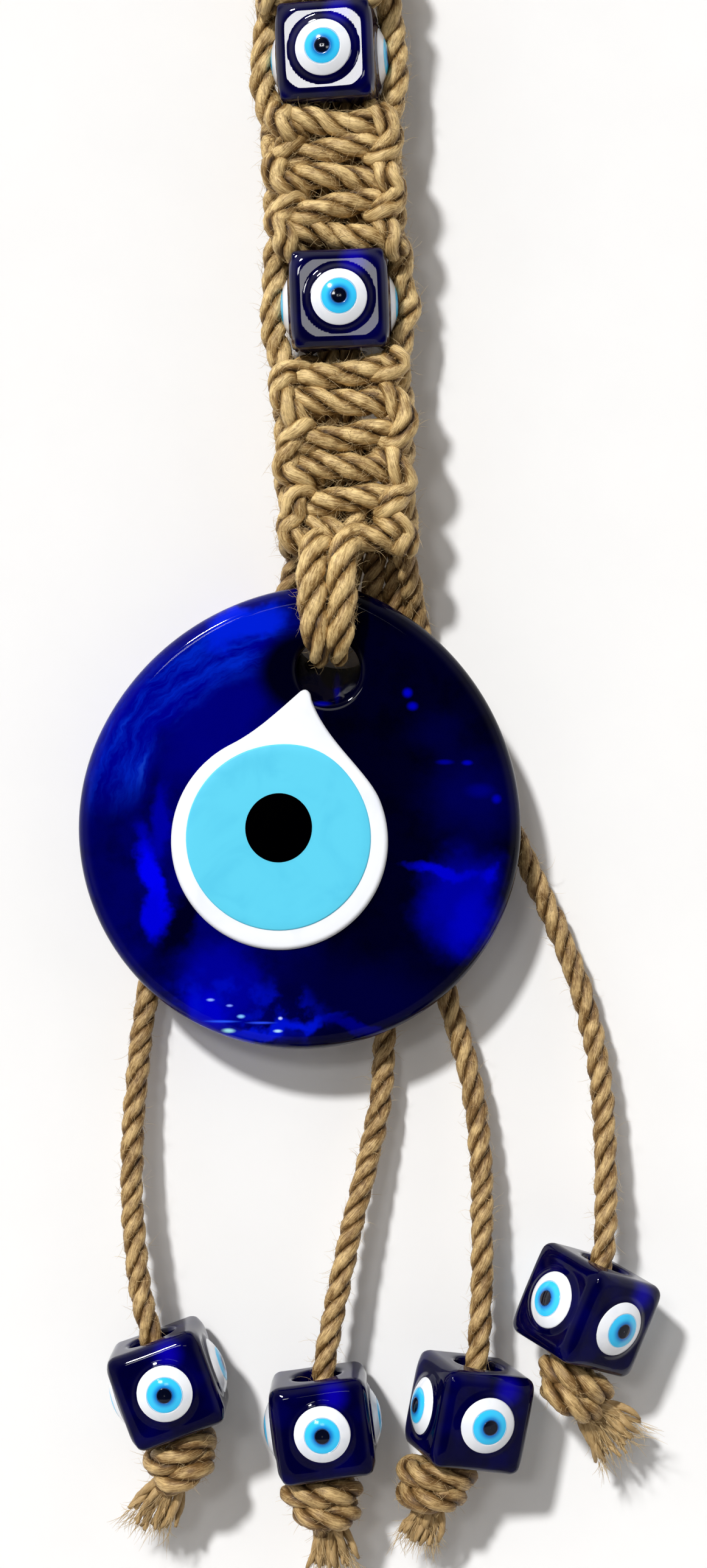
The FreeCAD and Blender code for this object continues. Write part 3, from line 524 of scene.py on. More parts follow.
def tube_faces(rings, sides):
    faces = []
    for i in range(rings - 1):
        for j in range(sides):
            a, b = i * sides + j, i * sides + (j + 1) % sides
            faces.append((a, b, b + sides, a + sides))
    last = (rings - 1) * sides
    faces.append(tuple(range(sides))[::-1])
    faces.append(tuple(range(last, last + sides)))
    return faces


def add_rope(shell, line, rng, diameter=ROPE_DIAMETER, lay=ROPE_LAY, phase=0.0, plies=(0, 1, 2),
             size=None):
    """Three plies twisted to the right along the line. size scales the rope along its length."""
    line = resample(line, ROPE_STEP)
    along = arc_length(line)
    _, side, other = frames_along(line)
    scale = np.ones(len(line)) if size is None else np.interp(along / along[-1], *zip(*size))
    drift = 0.35 * wave(along, 31 * MM, rng)
    ring_angle = np.linspace(0, TAU, PLY_SIDES, endpoint=False)
    for ply in plies:
        angle = (phase + TAU * ply / 3 + TAU * along / lay + drift)[:, None]
        out = np.cos(angle) * side + np.sin(angle) * other
        helix = PLY_OFFSET * diameter * scale * (1 + 0.08 * wave(along, 9 * MM, rng))
        radius = PLY_RADIUS * diameter * scale * (1 + 0.12 * wave(along, 6 * MM, rng))
        centre = line + out * helix[:, None]
        ply_tangent = unit(np.gradient(centre, axis=0))
        across = unit(np.cross(ply_tangent, out))
        out = np.cross(across, ply_tangent)
        fibre_turn = ring_angle[None, :] + TAU * along[:, None] / FIBRE_TWIST
        relief = 1 + 0.035 * np.sin(5 * fibre_turn + ply) + 0.02 * np.sin(9 * fibre_turn + 2 * ply)
        reach = radius[:, None] * relief
        rings = (centre[:, None, :]
                 + (0.98 * reach * np.cos(ring_angle))[..., None] * out[:, None, :]
                 + (1.10 * reach * np.sin(ring_angle))[..., None] * across[:, None, :])
        start = rng.uniform(0, 400)
        lengthwise = np.broadcast_to(along[:, None] * 1000 + start, fibre_turn.shape)
        fibre = np.stack([np.cos(fibre_turn), np.sin(fibre_turn), lengthwise], axis=-1)
        groove = np.broadcast_to(0.5 + 0.5 * np.cos(ring_angle), fibre_turn.shape)
        shell.add(rings, tube_faces(len(line), PLY_SIDES), fibre, groove)
    return line


def add_hair(shell, start, direction, length, radius, rng, curl=1.0):
    """One loose fibre: a thin three-sided tube that bends as it goes."""
    steps = 4
    points = [np.array(start, float)]
    heading = unit(np.array(direction, float))
    bend = rng.normal(0, 0.22 * curl, 3)
    for _ in range(steps):
        heading = unit(heading + bend + rng.normal(0, 0.07 * curl, 3))
        points.append(points[-1] + heading * length / steps)
    line = np.array(points)
    _, side, other = frames_along(line)
    thick = radius * np.array([1, 0.92, 0.78, 0.55, 0.25])
    turns = TAU * np.arange(3) / 3
    rings = (line[:, None, :] + thick[:, None, None]
             * (np.cos(turns)[None, :, None] * side[:, None, :]
                + np.sin(turns)[None, :, None] * other[:, None, :]))
    tone = np.full((steps + 1, 3), rng.uniform(0, 500))
    lengthwise = np.broadcast_to(np.arange(steps + 1)[:, None] * 0.2, tone.shape)
    fibre = np.stack([tone, tone, lengthwise], axis=-1)
    shell.add(rings, tube_faces(steps + 1, 3), fibre)


def add_fuzz(shell, line, rng, per_mm=1.6, radius=0.5 * ROPE_DIAMETER, longest=3.6 * MM, lie=0.5):
    """Loose fibres along a rope, mostly on the side that is seen. lie is how flat they are."""
    along = arc_length(line)
    tangent, side, other = frames_along(line)
    for _ in range(int(along[-1] / MM * per_mm)):
        i = rng.integers(1, len(line) - 1)
        turn = rng.uniform(0, TAU)
        out = math.cos(turn) * side[i] + math.sin(turn) * other[i]
        if out[1] > 0.2 and rng.uniform() < 0.7:
            out = out * (1, -1, 1)
        across = np.cross(tangent[i], out)
        direction = (out * rng.uniform(-0.05, 0.75)
                     + tangent[i] * rng.choice((-1, 1)) * rng.uniform(lie, 1.4)
                     + across * rng.normal(0, 0.55))
        length = SHORTEST_HAIR + (longest - SHORTEST_HAIR) * rng.beta(1.3, 2.6)
        start = line[i] + out * radius * 0.95
        add_hair(shell, start, direction, length, rng.uniform(*HAIR_RADIUS), rng)


# ---------------------------------------------------------------- camera, light and stage
def make_camera():
    camera = bpy.data.objects.new("camera", bpy.data.cameras.new("camera"))
    camera.data.lens = CAMERA_LENS
    camera.data.sensor_width = 36
    camera.data.clip_start = 0.01
    upright = Matrix.Rotation(math.radians(90), 4, "X")
    turn = Matrix.Rotation(math.radians(CAMERA_ROLL), 4, "Y") @ upright
    camera.matrix_world = Matrix.Translation(CAMERA_AT) @ turn
    bpy.context.scene.camera = link(camera)


def add_lamp(name, kind, energy, at, toward, **settings):
    data = bpy.data.lights.new(name, kind)
    data.energy = energy
    for setting, value in settings.items():
        setattr(data, setting, value)
    lamp = bpy.data.objects.new(name, data)
    direction = (np.array(toward) - np.array(at)).tolist()
    lamp.rotation_mode = "QUATERNION"
    lamp.rotation_quaternion = Vector(direction).to_track_quat("-Z", "Y")
    lamp.location = at
    link(lamp)


def make_lights():
    world = bpy.data.worlds.new("studio")
    world.use_nodes = True
    tree = world.node_tree
    way = add_node(tree, "SeparateXYZ", {0: add_node(tree, "TexCoord").outputs["Generated"]})
    # The room is dark in front of the ornament, so its glass stays deep.
    lit = map_range(tree, way.outputs["Y"], -0.96, -0.40, 0.02, 0.66)
    tree.nodes["Background"].inputs["Color"].default_value = (1.0, 0.98, 0.96, 1)
    tree.links.new(lit, tree.nodes["Background"].inputs["Strength"])
    bpy.context.scene.world = world
    centre = np.array((0, 0, -0.17))
    key_way = np.array((-0.42, -1.0, 0.73))
    add_lamp("key", "SUN", 3.0, centre + key_way, centre, angle=math.radians(5))
    # Two lamps far away in front that show as reflections in the strap beads' faces.
    for name, across, height, size, radiance in (("upper_glint", -0.60, 0.60, (0.40, 0.26), 20.0),
                                                 ("lower_glint", 0.0, 0.34, (0.40, 0.20), 5.0)):
        energy = radiance * math.pi * size[0] * size[1]
        add_lamp(name, "AREA", energy, (across, -2.4, height), (0, 0, -0.075), shape="RECTANGLE",
                 size=size[0], size_y=size[1])
    bpy.context.scene.view_settings.view_transform = "Standard"


def flat_mesh(name, corners, material):
    mesh = bpy.data.meshes.new(name)
    mesh.from_pydata(corners, [], [tuple(range(len(corners)))])
    mesh.materials.append(material)
    plane = link(bpy.data.objects.new(name, mesh))


def make_stage():
    """A pale wall just behind the ornament, open from behind, and a pale floor far below it."""
    material, tree, shader = new_material("pale_wall", Roughness=0.8)
    grain = noise(tree, add_node(tree, "TexCoord").outputs["Object"], 60.0, 3.0)
    tree.links.new(mix_colour(tree, grain, (0.86, 0.855, 0.85), (0.90, 0.895, 0.89)),
                   shader.inputs["Base Color"])
    behind = add_node(tree, "NewGeometry").outputs["Backfacing"]
    one_way = add_node(tree, "MixShader", {0: behind})
    tree.links.new(shader.outputs[0], one_way.inputs[1])
    tree.links.new(add_node(tree, "BsdfTransparent").outputs[0], one_way.inputs[2])
    tree.links.new(one_way.outputs[0], tree.nodes["Material Output"].inputs["Surface"])
    wide = 1.6
    low_left, low_right = (-wide, WALL_Y, FLOOR_Z), (wide, WALL_Y, FLOOR_Z)
    wall = [low_left, low_right, (wide, WALL_Y, 1.2), (-wide, WALL_Y, 1.2)]
    flat_mesh("wall", wall, material)
    near = -0.42
    floor = [(-wide, near, FLOOR_Z), (wide, near, FLOOR_Z), low_right, low_left]
    floor_material, _, floor_shader = new_material("soft_floor", Roughness=0.8)
    floor_shader.inputs["Base Color"].default_value = (0.30, 0.29, 0.28, 1)
    flat_mesh("floor", floor, floor_material)


# ---------------------------------------------------------------- the knotted strap
def bar_points(z, pitch, start):
    """The front cord over the cores to the other side, rising as it goes. Millimetres."""
    lift = 0.21 * pitch
    shape = [(1, 8.4, -1.5, -1.0), (1, 5.4, -3.5, -0.75), (0, 0, BAR_FRONT_Y, 0),
             (-1, 5.4, -3.5, 0.75), (-1, 8.4, -1.5, 1.0)]
    return [(start * s * x, y, z + lift * rise) for s, x, y, rise in shape]


def side_points(number, side):
    """Where a working cord bows out round a bead between two knotted lengths. Millimetres."""
    top, bottom = ((-46.35, -63.55), (-85.85, -102.7))[number]
    inset = 4.4
    shape = [(9.3, -0.3, top + 0.4), (10.2, 0.8, top - inset), (10.5, 1.0, (top + bottom) / 2),
             (10.2, 0.8, bottom + inset), (9.3, -0.3, bottom - 0.4)]
    return [(side * x, y, z) for x, y, z in shape]


def front_cord_points():
    """The working cord that stays in front: one bar for each half knot, with wide turns between."""
    points = [(0, 3.9, -30.6), (-5.4, 3.2, -30.9), (-9.0, 0.2, -33.2)]
    for number, (first, bars, pitch, start) in enumerate(KNOT_SECTIONS):
        for bar in range(bars):
            side = start * (-1) ** bar
            z = first - bar * pitch
            points += bar_points(z, pitch, side)
            if bar < bars - 1:
                points.append((-side * 9.3, 0.6, z - pitch / 2))
        if number < 2:
            points += side_points(number, -side)
    return np.array(points + [(-9.4, 0.6, -131.0), (-8.2, 2.8, -132.65)]) * MM


def back_cord_points():
    """The working cord that crosses behind the cores and loops over the front cord's ends."""
    points = [(0, 4.3, -32.0), (5.2, 2.9, -31.6), (7.6, -1.0, -32.0)]
    shape = [(8.9, -4.5, 0.5), (7.1, -4.3, -1.5), (5.2, -1.0, -1.4), (3.6, 3.2, -0.8),
             (-3.6, 3.7, 0.7), (-5.2, -0.6, 1.3), (-7.1, -4.3, 1.5), (-8.9, -4.5, -0.5)]
    for number, (first, bars, pitch, start) in enumerate(KNOT_SECTIONS):
        for bar in range(bars):
            side = -start * (-1) ** bar
            z = first - bar * pitch
            if bar == 0:
                points.append((side * 8.4, -4.3, z + 2.0))
            points += [(side * x, y, z + rise) for x, y, rise in shape]
            if bar < bars - 1:
                points.append((-side * 9.4, -4.4, z - pitch / 2))
        points.append((-side * 9.2, -3.6, z - 2.2))
        if number < 2:
            points += side_points(number, -side)
    return np.array(points + [(9.2, -2.6, -131.6), (8.4, -1.0, -132.65)]) * MM


def loop_points():
    """The fold of the core cord at the top, and both of its legs down into the knots."""
    bend, top, core = 7.25, -5.5, CORE_X / MM
    arc = [(bend * math.cos(t), 0, top + bend * math.sin(t)) for t in np.linspace(math.pi, 0, 9)]
    left = [(-core, 0, -40), (-core, 0, -31.5), (-3.1, 0, -24), (-6.2, 0, -13)]
    return np.array(left + arc + [(-x, y, z) for x, y, z in reversed(left)]) * MM


def make_strap():
    rng = np.random.default_rng(11)
    knots = ["square_knots_top", "square_knots_middle", "square_knots_lower"]
    cords = {   # name: points, thickness, the design's pieces that it stands for
        "strap_front_cord": (front_cord_points(), STRAP_CORD,
                             [*knots, "side_cord_upper_right", "side_cord_lower_left"]),
        "strap_back_cord": (back_cord_points(), STRAP_CORD,
                            [*knots, "side_cord_upper_left", "side_cord_lower_right"]),
        "hanging_loop_rope": (loop_points(), ROPE_DIAMETER, ["hanging_loop"]),
        "core_rope_left": ([(-CORE_X, 0, -0.038), (-CORE_X, 0.0001, -0.085), (-CORE_X, 0, -0.118),
                            (-0.0005, 0.0008, -0.126), (0.0026, 0.0027, -0.1305),
                            TASSEL_ROUTES[2][0]], ROPE_DIAMETER, ["core_cord_left"]),
        "core_rope_right": ([(CORE_X, 0, -0.038), (CORE_X, 0.0001, -0.085), (CORE_X, 0, -0.118),
                             (0.0040, 0.0005, -0.126), (0.0070, 0.0022, -0.1305),
                             TASSEL_ROUTES[3][0]], ROPE_DIAMETER, ["core_cord_right"]),
    }
    for name, (points, thickness, nodes) in cords.items():
        fuzz = Shell()
        points = np.array(points)
        if thickness == STRAP_CORD:
            points[1:-1] += rng.normal(0, STRAP_WANDER, (len(points) - 2, 3))
        shell = Shell()
        line = add_rope(shell, smooth_line(points), rng, diameter=thickness, lay=STRAP_LAY)
        piece = shell.build(name, KNOTTED)
        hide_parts(*nodes)
        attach(piece, "root")
        if name.startswith("core"):
            continue
        add_fuzz(fuzz, line, rng, per_mm=12, radius=0.5 * thickness, longest=4.0 * MM)
        piece = fuzz.build(f"{name}_fuzz", HAIR)
        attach(piece, "root")


# ---------------------------------------------------------------- the sling
def make_sling():
    rng = np.random.default_rng(23)
    fuzz = Shell()
    lefts = [(-1.9, -0.4, -125), (-3.3, -2.6, -129.6), (-5.2, -5.8, -132.6), (-6.0, -7.4, -136.6),
             (-6.0, -7.7, -142.0), (-5.8, -7.5, -145.4), (-5.5, -6.4, -148.7),
             (-5.3, -2.8, -150.2), (-5.1, 0.0, -149.8), (-5.0, 2.6, -148.8), (-4.9, 5.8, -146.4),
             (-4.6, 6.6, -143.0), (-3.6, 5.7, -137.2), (-2.4, 3.3, -132.4), (-1.9, 0.9, -127)]
    rights = [(1.9, -0.4, -125), (1.2, -2.8, -129.6), (-0.6, -5.9, -132.8), (-1.3, -7.6, -136.8),
              (-1.4, -7.9, -141.5), (-1.8, -7.6, -145.2), (-2.3, -6.5, -148.5),
              (-2.2, -2.8, -150.1), (-2.2, 0.0, -149.8), (-2.1, 2.6, -148.8), (-1.6, 5.8, -146.4),
              (-1.0, 6.6, -142.8), (0.0, 5.7, -137.2), (1.2, 3.3, -132.4), (1.9, 0.9, -127)]
    for name, points, phase in (("left", lefts, 0.4), ("right", rights, 1.9)):
        shell = Shell()
        line = smooth_line(np.array(points) * MM)
        line = add_rope(shell, line, rng, diameter=SLING_CORD, lay=SLING_LAY, phase=phase,
                        size=[(0, 0.7), (0.15, 0.95), (0.22, 1.0), (0.39, 0.94), (0.47, 0.57),
                              (0.60, 0.52), (0.75, 0.70), (1, 0.66)])
        piece = shell.build(f"sling_rope_{name}", KNOTTED)
        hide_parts(f"sling_cord_{name}")
        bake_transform(piece)
        front = int(0.38 * len(line))
        add_fuzz(fuzz, line[:front], rng, per_mm=14, radius=2.2 * MM, longest=4.2 * MM)
        add_fuzz(fuzz, line[front:], rng, per_mm=6, radius=1.3 * MM, longest=2.6 * MM)
    piece = fuzz.build("sling_fuzz", HAIR)
    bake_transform(piece)


# ---------------------------------------------------------------- tassels
def bead_matrix(name):
    centre, roll, yaw = BEADS[name]
    turn = Matrix.Rotation(math.radians(roll), 4, "Y") @ Matrix.Rotation(math.radians(yaw), 4, "Z")
    return np.array(Matrix.Translation(centre) @ turn)


def moved(matrix, points):
    return np.asarray(points, float) @ matrix[:3, :3].T + matrix[:3, 3]


KNOT_SHIFT = {1: -2.0, 2: -1.6, 3: -3.2, 4: 2.6}    # sideways from the bead's hole, millimetres
KNOT_DROP = -12.15
FRAYS = {   # way, length, how far it spreads each side, in millimetres
    1: ((-5.6, 1.0, -9.5), 9.5, 3.8), 2: ((1.0, 1.0, -9.0), 8.5, 3.8),
    3: ((-2.6, 1.2, -8.0), 7.0, 3.3), 4: ((7.2, 1.6, -9.5), 10.5, 5.0),
}


def knot_centre(number):
    centre, roll, _ = BEADS[f"tassel_bead_{number}"]
    turn = np.array(Matrix.Rotation(math.radians(roll), 3, "Y"))
    return np.array(centre) + turn @ (np.array((KNOT_SHIFT[number], 0, KNOT_DROP)) * MM), turn


def make_fray(number, start, way, rng):
    """The rope's end opened into a broad brush of loose strands."""
    _, length, spread = FRAYS[number]
    across = unit(np.cross(way, (0, 1, 0)))
    depth = np.cross(across, way)
    shell, fuzz = Shell(), Shell()
    for strand in range(FRAY_STRANDS):
        place = 2 * (strand + rng.uniform(0.2, 0.8)) / FRAY_STRANDS - 1
        reach = length * MM * (1 - 0.18 * place ** 2) * rng.uniform(0.86, 1.04)
        deep = rng.normal(0, 0.6, 3) * MM
        points = [
            start + across * place * 1.1 * MM + depth * deep[0] * 0.5,
            start + way * reach * 0.4 + across * place * (0.6 * spread + 0.4) * MM + depth * deep[0],
            start + way * reach * 0.75 + across * place * (0.9 * spread) * MM + depth * deep[1],
            (start + way * reach + across * place * spread * rng.uniform(0.9, 1.15) * MM
             + depth * deep[2])]
        add_rope(shell, smooth_line(points), rng, diameter=FRAY_CORD, lay=FRAY_LAY,
                 phase=rng.uniform(0, TAU), plies=(strand % 3,),
                 size=[(0, 1.0), (0.7, 0.85), (1, 0.40)])
    for _ in range(FRAY_HAIRS):
        place = rng.uniform(-1, 1)
        down = rng.uniform(0.0, 0.95)
        at = (start + way * down * length * MM + across * place * (1.0 + down * (spread - 0.6)) * MM
              + depth * rng.normal(0, 0.7) * MM)
        heading = way + across * place * 0.45 + rng.normal(0, 0.13, 3)
        length_here, thickness = rng.uniform(1.5, 4.2) * MM, rng.uniform(*FRAY_HAIR_RADIUS) * MM
        add_hair(fuzz, at, heading, length_here, thickness, rng, 0.5)
    return shell, fuzz


def make_knot(number, cord_end):
    """An overhand knot pulled tight: two wraps round the cord, and the end brought out below."""
    rng = np.random.default_rng(40 + number)
    centre, turn = knot_centre(number)
    mirror = 1 if number in (1, 3) else -1
    wraps = [(0.4, 0.4, 4.0), (2.2, 2.2, 2.0), (-2.0, 3.0, 1.2), (-4.1, 0.0, 1.0),
             (-2.0, -2.9, 1.3), (2.0, -3.0, 1.9), (4.2, -0.2, 1.8), (2.0, 2.8, 0.0),
             (-2.0, 2.6, -1.4), (-3.6, -0.4, -2.2), (-1.2, -2.9, -2.2), (2.0, -2.6, -1.4),
             (2.9, 0.2, -1.2), (1.0, 1.0, -2.0)]
    way = unit(np.array(FRAYS[number][0], float))
    local = np.array(wraps) * np.array((1.08 * mirror, 1.04, 1.04)) * MM
    points = [*(centre + local @ turn.T), centre + way * 3.6 * MM, centre + way * 5.2 * MM]
    points = [np.array(cord_end), *points[1:]]
    shell = Shell()
    line = add_rope(shell, smooth_line(points), rng, diameter=KNOT_CORD, lay=KNOT_LAY)
    piece = shell.build(f"stopper_knot_rope_{number}", ROPE)
    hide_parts(f"stopper_knot_{number}")
    fray, fuzz = make_fray(number, centre + way * 3.4 * MM, way, rng)
    add_fuzz(fuzz, line, rng, per_mm=10, radius=KNOT_FUZZ_RADIUS, longest=3.4 * MM)
    fray_piece = fray.build(f"frayed_end_rope_{number}", FUZZ)
    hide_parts(f"frayed_end_{number}")
    fuzz_piece = fuzz.build(f"knot_fuzz_{number}", HAIR)
    for each in (piece, fray_piece, fuzz_piece):
        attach(each, f"tassel_{number}")
    return [piece, fray_piece, fuzz_piece]


def make_tassels():
    for number, route in TASSEL_ROUTES.items():
        rng = np.random.default_rng(60 + number)
        line = nurbs_line(f"route_{number}", route)
        shell = Shell()
        line = add_rope(shell, line, rng, diameter=TASSEL_CORD, phase=number)
        cord = shell.build(f"tassel_rope_{number}", ROPE)
        fuzz = Shell()
        add_fuzz(fuzz, line, rng, per_mm=6.5, longest=4.4 * MM)
        fuzz_piece = fuzz.build(f"tassel_fuzz_{number}", HAIR)
        on_cord = make_knot(number, line[-1])
        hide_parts(f"tassel_cord_{number}_upper", f"tassel_cord_{number}_lower")
        for piece in (cord, fuzz_piece):
            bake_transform(piece)


# ---------------------------------------------------------------- beads
def grid_faces(rows, columns):
    """Faces of a grid that closes on itself both ways."""
    return [(i * columns + j, i * columns + (j + 1) % columns,
             (i + 1) % rows * columns + (j + 1) % columns, (i + 1) % rows * columns + j)
            for i in range(rows) for j in range(columns)]


def rounded_square(half, corner, per_side=32, per_corner=7):
    """Points round a square with round corners, and as many on a circle to match."""
    corner = max(corner, 1e-6)
    flat = half - corner
    points, angles = [], []
    for quarter in range(4):
        base = TAU * quarter / 4
        turn = np.array([[math.cos(base), -math.sin(base)], [math.sin(base), math.cos(base)]])
        for t in np.linspace(-flat, flat, per_side, endpoint=False):
            points.append(turn @ (half, t))
            angles.append(base + t / half * TAU / 8)
        for t in np.linspace(0, TAU / 4, per_corner, endpoint=False):
            points.append(turn @ (flat + corner * math.cos(t), flat + corner * math.sin(t)))
            angles.append(base + TAU / 8 * (flat / half) + t * (1 - flat / half))
    return np.array(points), np.array(angles)


def bead_profile(edge_radius):
    """Rings from the hole's middle out over the top, down the sides and back up the hole."""
    rings = []
    for t in np.linspace(0, 1, 5):
        rings.append(("hole", BEAD_HOLE, (BEAD_HALF - BEAD_LIP) * t))
    for t in np.linspace(0, TAU / 4, 5)[1:]:
        rings.append(("hole", BEAD_HOLE + BEAD_LIP * (1 - math.cos(t)),
                      BEAD_HALF - BEAD_LIP + BEAD_LIP * math.sin(t)))
    for t in np.linspace(0, 1, 6)[1:]:
        rings.append(("top", t, BEAD_HALF))
    for t in np.linspace(0, TAU / 4, 8)[1:]:
        rings.append(("side", edge_radius * (1 - math.sin(t)),
                      BEAD_HALF - edge_radius * (1 - math.cos(t))))
    side = [("side", 0.0, z) for z in np.linspace(BEAD_HALF - edge_radius, 0, 24)[1:]]
    top = rings + side
    bottom = [(kind, value, -z) for kind, value, z in reversed(top)]
    return top + bottom[1:-1]


def face_relief(points):
    """How far each face stands out: a plateau under its eye drop, and corners that round away."""
    x, y, z = points.T
    out = np.zeros_like(points)
    for axis, way in ((0, 1), (0, -1), (1, 1), (1, -1)):
        near_face = np.clip((points[:, axis] * way - BEAD_HALF) / (0.9 * MM) + 1, 0, 1)
        across = y if axis == 0 else x
        slope = np.clip((np.hypot(across, z) / MM - 4.5) / 1.0, 0, 1)
        lift = PLATEAU * (0.5 + 0.5 * np.cos(math.pi * slope))
        beyond = np.maximum(np.abs(np.column_stack([across, z])) / MM - 2.8, 0)
        past_corner = np.clip(np.hypot(*beyond.T) - 3.5, 0, 1.9)
        out[:, axis] += way * near_face ** 2 * (lift - 0.15 * MM * past_corner ** 2)
    return out


def make_bead(name):
    edge_radius = BEAD_EDGES[name.split("_")[0]]
    outer, angles = rounded_square(BEAD_HALF, edge_radius)
    circle = np.column_stack([np.cos(angles), np.sin(angles)])
    shoulder, _ = rounded_square(BEAD_HALF - edge_radius, 0)
    rows = []
    for kind, value, z in bead_profile(edge_radius):
        if kind == "hole":
            flat = circle * value
        elif kind == "top":
            rim = circle * (BEAD_HOLE + BEAD_LIP)
            flat = rim + (shoulder - rim) * value
        else:
            flat = shoulder + (outer - shoulder) * (1 - value / edge_radius)
        rows.append(np.column_stack([flat, np.full(len(flat), z)]))
    grid = np.array(rows)
    points = grid.reshape(-1, 3)
    points = points + face_relief(points)
    phase = len(name) + ord(name[-1])
    uneven = (0.015 if name.startswith("strap") else 0.05) * MM
    points = points + uneven * np.sin(points[:, [1, 2, 0]] * 420 + phase)
    shell = Shell()
    faces = [face[::-1] for face in grid_faces(len(rows), grid.shape[1])]
    shell.add(moved(bead_matrix(name), points), faces)
    # Centre of the bead's painted light, high on the right of its front face.
    spot = moved(bead_matrix(name), [(2.5 * MM, -7 * MM, 5.5 * MM)])[0].tolist()
    glass = bead_glass(f"cobalt_{name}", spot, 3.2 * MM)
    piece = shell.build(f"{name}_glass", glass, bumps=False)
    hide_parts(name)
    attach(piece, BEAD_BODY[name])
    for layer, glass in (("whites", WHITE_GLASS), ("irises", SKY_GLASS), ("pupils", BLACK_GLASS)):
        make_drops(name, layer, glass)


def make_drops(name, layer, material):
    """One layer of the four eye drops on a bead, each a slice of the same dome."""
    outer = DROP_RADII[layer]
    inner = {"whites": DROP_RADII["irises"], "irises": DROP_RADII["pupils"], "pupils": 0}[layer]
    rng = np.random.default_rng(len(name) * 10 + ord(name[-1]) + len(layer))
    base = math.sqrt(DOME_RADIUS ** 2 - DROP_RADII["whites"] ** 2)
    sides, rings = 48, 9
    shell = Shell()
    for quarter in range(4):
        turn = np.linspace(0, TAU, sides, endpoint=False)
        wobble = (1 + 0.012 * np.sin(2 * turn + rng.uniform(0, TAU))
                  + 0.008 * np.sin(3 * turn + rng.uniform(0, TAU)))
        rows = []
        edge = outer * wobble
        foot = np.sqrt(DOME_RADIUS ** 2 - edge ** 2) - base
        rows.append((edge * 0.97, foot - DROP_DEPTH))
        for t in np.linspace(0, 1, rings):
            radius = edge + (max(inner - 0.1 * MM, 0.02 * MM) - edge) * t
            rows.append((radius, np.sqrt(DOME_RADIUS ** 2 - radius ** 2) - base))
        rows.append((rows[-1][0], rows[-1][1] - DROP_DEPTH))
        lift = BEAD_HALF + DROP_LIFT
        grid = np.array([np.column_stack([r * np.cos(turn), -np.broadcast_to(h, sides) - lift,
                                          r * np.sin(turn)]) for r, h in rows])
        spin = np.array(Matrix.Rotation(TAU * quarter / 4, 4, "Z"))
        outward = np.concatenate([[1.0], np.linspace(1, 0, rings), [0.0]])
        shell.add(moved(bead_matrix(name) @ spin, grid.reshape(-1, 3)),
                  grid_faces(len(rows), sides), groove=np.repeat(outward, sides))
    piece = shell.build(f"{name}_{layer}_glass", material, bumps=layer == "irises")
    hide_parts(f"{name}_{layer}")
    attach(piece, BEAD_BODY[name])


# ---------------------------------------------------------------- the disc
def disc_outline(inset):
    """The disc's outline moved inward, as tangent arcs found by the direction they face."""
    low, high = 15.0, 79.2
    points = []
    across, up, shoulder = SHOULDER_ARC
    for degrees in np.linspace(-90, 270, DISC_SIDES, endpoint=False):
        if low < degrees < high:
            centre, radius = (-across, up), shoulder
        elif high <= degrees <= 180 - high:
            centre, radius = (0, TOP_ARC[0]), TOP_ARC[1]
        elif 180 - high < degrees < 180 - low:
            centre, radius = (across, up), shoulder
        else:
            centre, radius = (0, 0), DISC_RADIUS
        t = math.radians(degrees)
        reach = radius * MM - inset
        points.append((centre[0] * MM + reach * math.cos(t), centre[1] * MM + reach * math.sin(t)))
    return np.array(points)


def disc_matrix():
    turn = Matrix.Rotation(math.radians(DISC_ROLL), 4, "Y")
    return np.array(Matrix.Translation(DISC_CENTRE) @ turn)


def make_disc():
    directions = np.radians(np.linspace(-90, 270, DISC_SIDES, endpoint=False))
    circle = np.column_stack([np.cos(directions), np.sin(directions)])
    inner = disc_outline(RIM_RADIUS)

    def face(front):
        sign = -1 if front else 1
        level = DISC_FRONT if front else DISC_BACK
        centre, reach = HOLE_FRONT if front else HOLE_BACK
        mouth = np.array(centre) + circle * (np.array(reach) + HOLE_EDGE)
        part = []
        for t in np.linspace(0, TAU / 4, 6):
            size = np.array(reach) + HOLE_EDGE * (1 - math.cos(t))
            part.append((np.array(centre) + circle * size,
                         np.full(DISC_SIDES, level - sign * HOLE_EDGE * (1 - math.sin(t)))))
        for t in np.linspace(0, 1, 46)[1:-1]:
            part.append((mouth + (inner - mouth) * t, np.full(DISC_SIDES, level)))
        for t in np.linspace(0, TAU / 4, 12):
            part.append((disc_outline(RIM_RADIUS * (1 - math.sin(t))),
                         np.full(DISC_SIDES, level - sign * RIM_RADIUS * (1 - math.cos(t)))))
        return part

    front, back = face(True), face(False)
    rows = front + back[::-1]
    plan = np.array([p for p, _ in rows])
    y = np.array([v for _, v in rows])
    # The faces are slightly crowned, and uneven as hand-poured glass is.
    distance = np.linalg.norm(plan, axis=2) / (DISC_RADIUS * MM)
    crown = 0.9 * MM * np.clip(distance - 0.55, 0, 1) ** 1.5
    y = y - np.sign(y) * crown
    ripple = 0.05 * MM * np.sin(plan[..., 0] * 310 + 1.3) * np.sin(plan[..., 1] * 270 + 0.4)
    y = y + ripple
    grid = np.stack([plan[..., 0], y, plan[..., 1]], axis=-1)
    shell = Shell()
    shell.add(moved(disc_matrix(), grid.reshape(-1, 3)), grid_faces(len(rows), DISC_SIDES))
    piece = shell.build("glass_disc_body", DISC_GLASS, bumps=False)
    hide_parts("glass_disc")
    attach(piece, "disc")


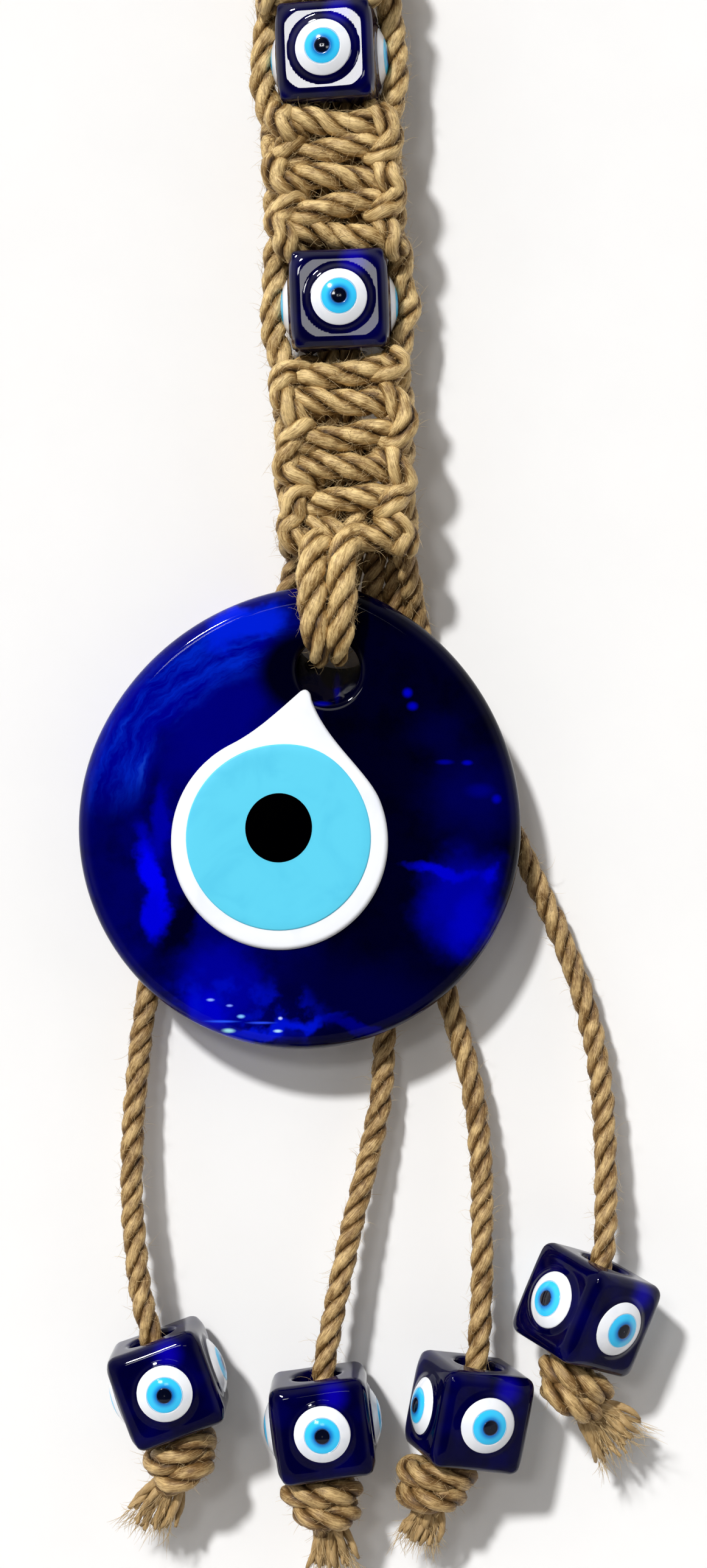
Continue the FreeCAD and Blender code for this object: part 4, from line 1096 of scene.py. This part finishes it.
def closed_patch(node, outline, centre, front, back, edge, material, slot):
    """A thin layer of glass with a rounded edge, from its outline round a centre."""
    rows = [(outline * 0 + centre, back), (outline, back)]
    inward = unit(centre - outline)
    for t in np.linspace(0, TAU / 4, 7):
        rows.append((outline + inward * edge * (1 - math.cos(t)),
                     back + (front - back) * math.sin(t)))
    inner = rows[-1][0]
    for t in np.linspace(0, 1, 12)[1:]:
        rows.append((inner + (centre - inner) * t, front - 0.12 * MM * math.sin(t * TAU / 4)))
    grid = np.array([np.column_stack([p[:, 0], np.full(len(p), y), p[:, 1]]) for p, y in rows])
    shell = Shell()
    count = len(outline)
    faces = grid_faces(len(rows), count)[:(len(rows) - 1) * count]
    shell.add(moved(disc_matrix(), grid.reshape(-1, 3)), faces)
    piece = shell.build(f"{node}_glass", material, bumps=False)
    merge_points(piece)
    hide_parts(node)
    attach(piece, "disc")


def merge_points(piece):
    """Welds points that lie in one place."""
    mesh = bmesh.new()
    mesh.from_mesh(piece.data)
    bmesh.ops.remove_doubles(mesh, verts=mesh.verts, dist=0.001 * MM)
    bmesh.ops.recalc_face_normals(mesh, faces=mesh.faces)
    mesh.to_mesh(piece.data)
    mesh.free()


def bezier(a, b, c, d, count):
    t = np.linspace(0, 1, count, endpoint=False)[:, None]
    a, b, c, d = (np.array(p, float) for p in (a, b, c, d))
    return (1 - t) ** 3 * a + 3 * (1 - t) ** 2 * t * b + 3 * (1 - t) * t ** 2 * c + t ** 3 * d


def make_eye():
    white_at, white_radius, tip = np.array((-2.7, -2.6)), 17.1, np.array((-3.0, 22.0))
    start, stop = math.radians(33), math.radians(127)
    right_way = np.array((-math.sin(start), math.cos(start)))
    left_way = np.array((-math.sin(stop), math.cos(stop)))
    angles = [start, stop, *np.linspace(stop, start + TAU, 120, endpoint=False)]
    right, left, *arc = [white_at + white_radius * np.array((math.cos(t), math.sin(t)))
                         for t in angles]
    outline = np.vstack([
        arc,
        bezier(right, right + right_way * 5.0, tip + (3.9, -7.4), tip + (0.8, -0.9), 22),
        bezier(tip + (0.9, -0.9), tip + (0.3, -0.2), tip + (-0.3, -0.2), tip + (-0.9, -1.0), 6),
        bezier(tip + (-0.9, -1.0), tip + (-4.2, -5.2), left - left_way * 4.2, left, 22)]) * MM
    turn = np.linspace(0, TAU, 96, endpoint=False)
    sky_radius = 14.45 * (1 + 0.035 * np.exp(-((turn - math.radians(76)) / 0.45) ** 2)
                          + 0.01 * np.cos(2 * turn))
    sky_at = np.array((-2.95, -2.1))
    sky = (sky_at + np.column_stack([np.cos(turn), 1.02 * np.sin(turn)]) * sky_radius[:, None]) * MM
    black_at = np.array((-3.2, -0.5))
    black = (black_at + np.column_stack([5.3 * np.cos(turn), 5.5 * np.sin(turn)])) * MM
    layers = [  # node, outline, centre, front, back and edge in millimetres, material, slot
        ("eye_white", outline, white_at, (-5.0, -4.0, 0.8), EYE_WHITE, "white_glass"),
        ("eye_iris", sky, sky_at, (-5.25, -4.7, 0.3), EYE_SKY, "sky_glass"),
        ("eye_pupil", black, black_at, (-5.5, -5.0, 0.2), EYE_BLACK, "black_glass"),
    ]
    for node, outline, centre, depths, material, slot in layers:
        closed_patch(node, outline, centre * MM, *(d * MM for d in depths), material, slot)


make_camera()
make_lights()
make_stage()
make_tassels()
make_sling()
make_strap()
for bead in BEADS:
    make_bead(bead)
make_disc()
make_eye()
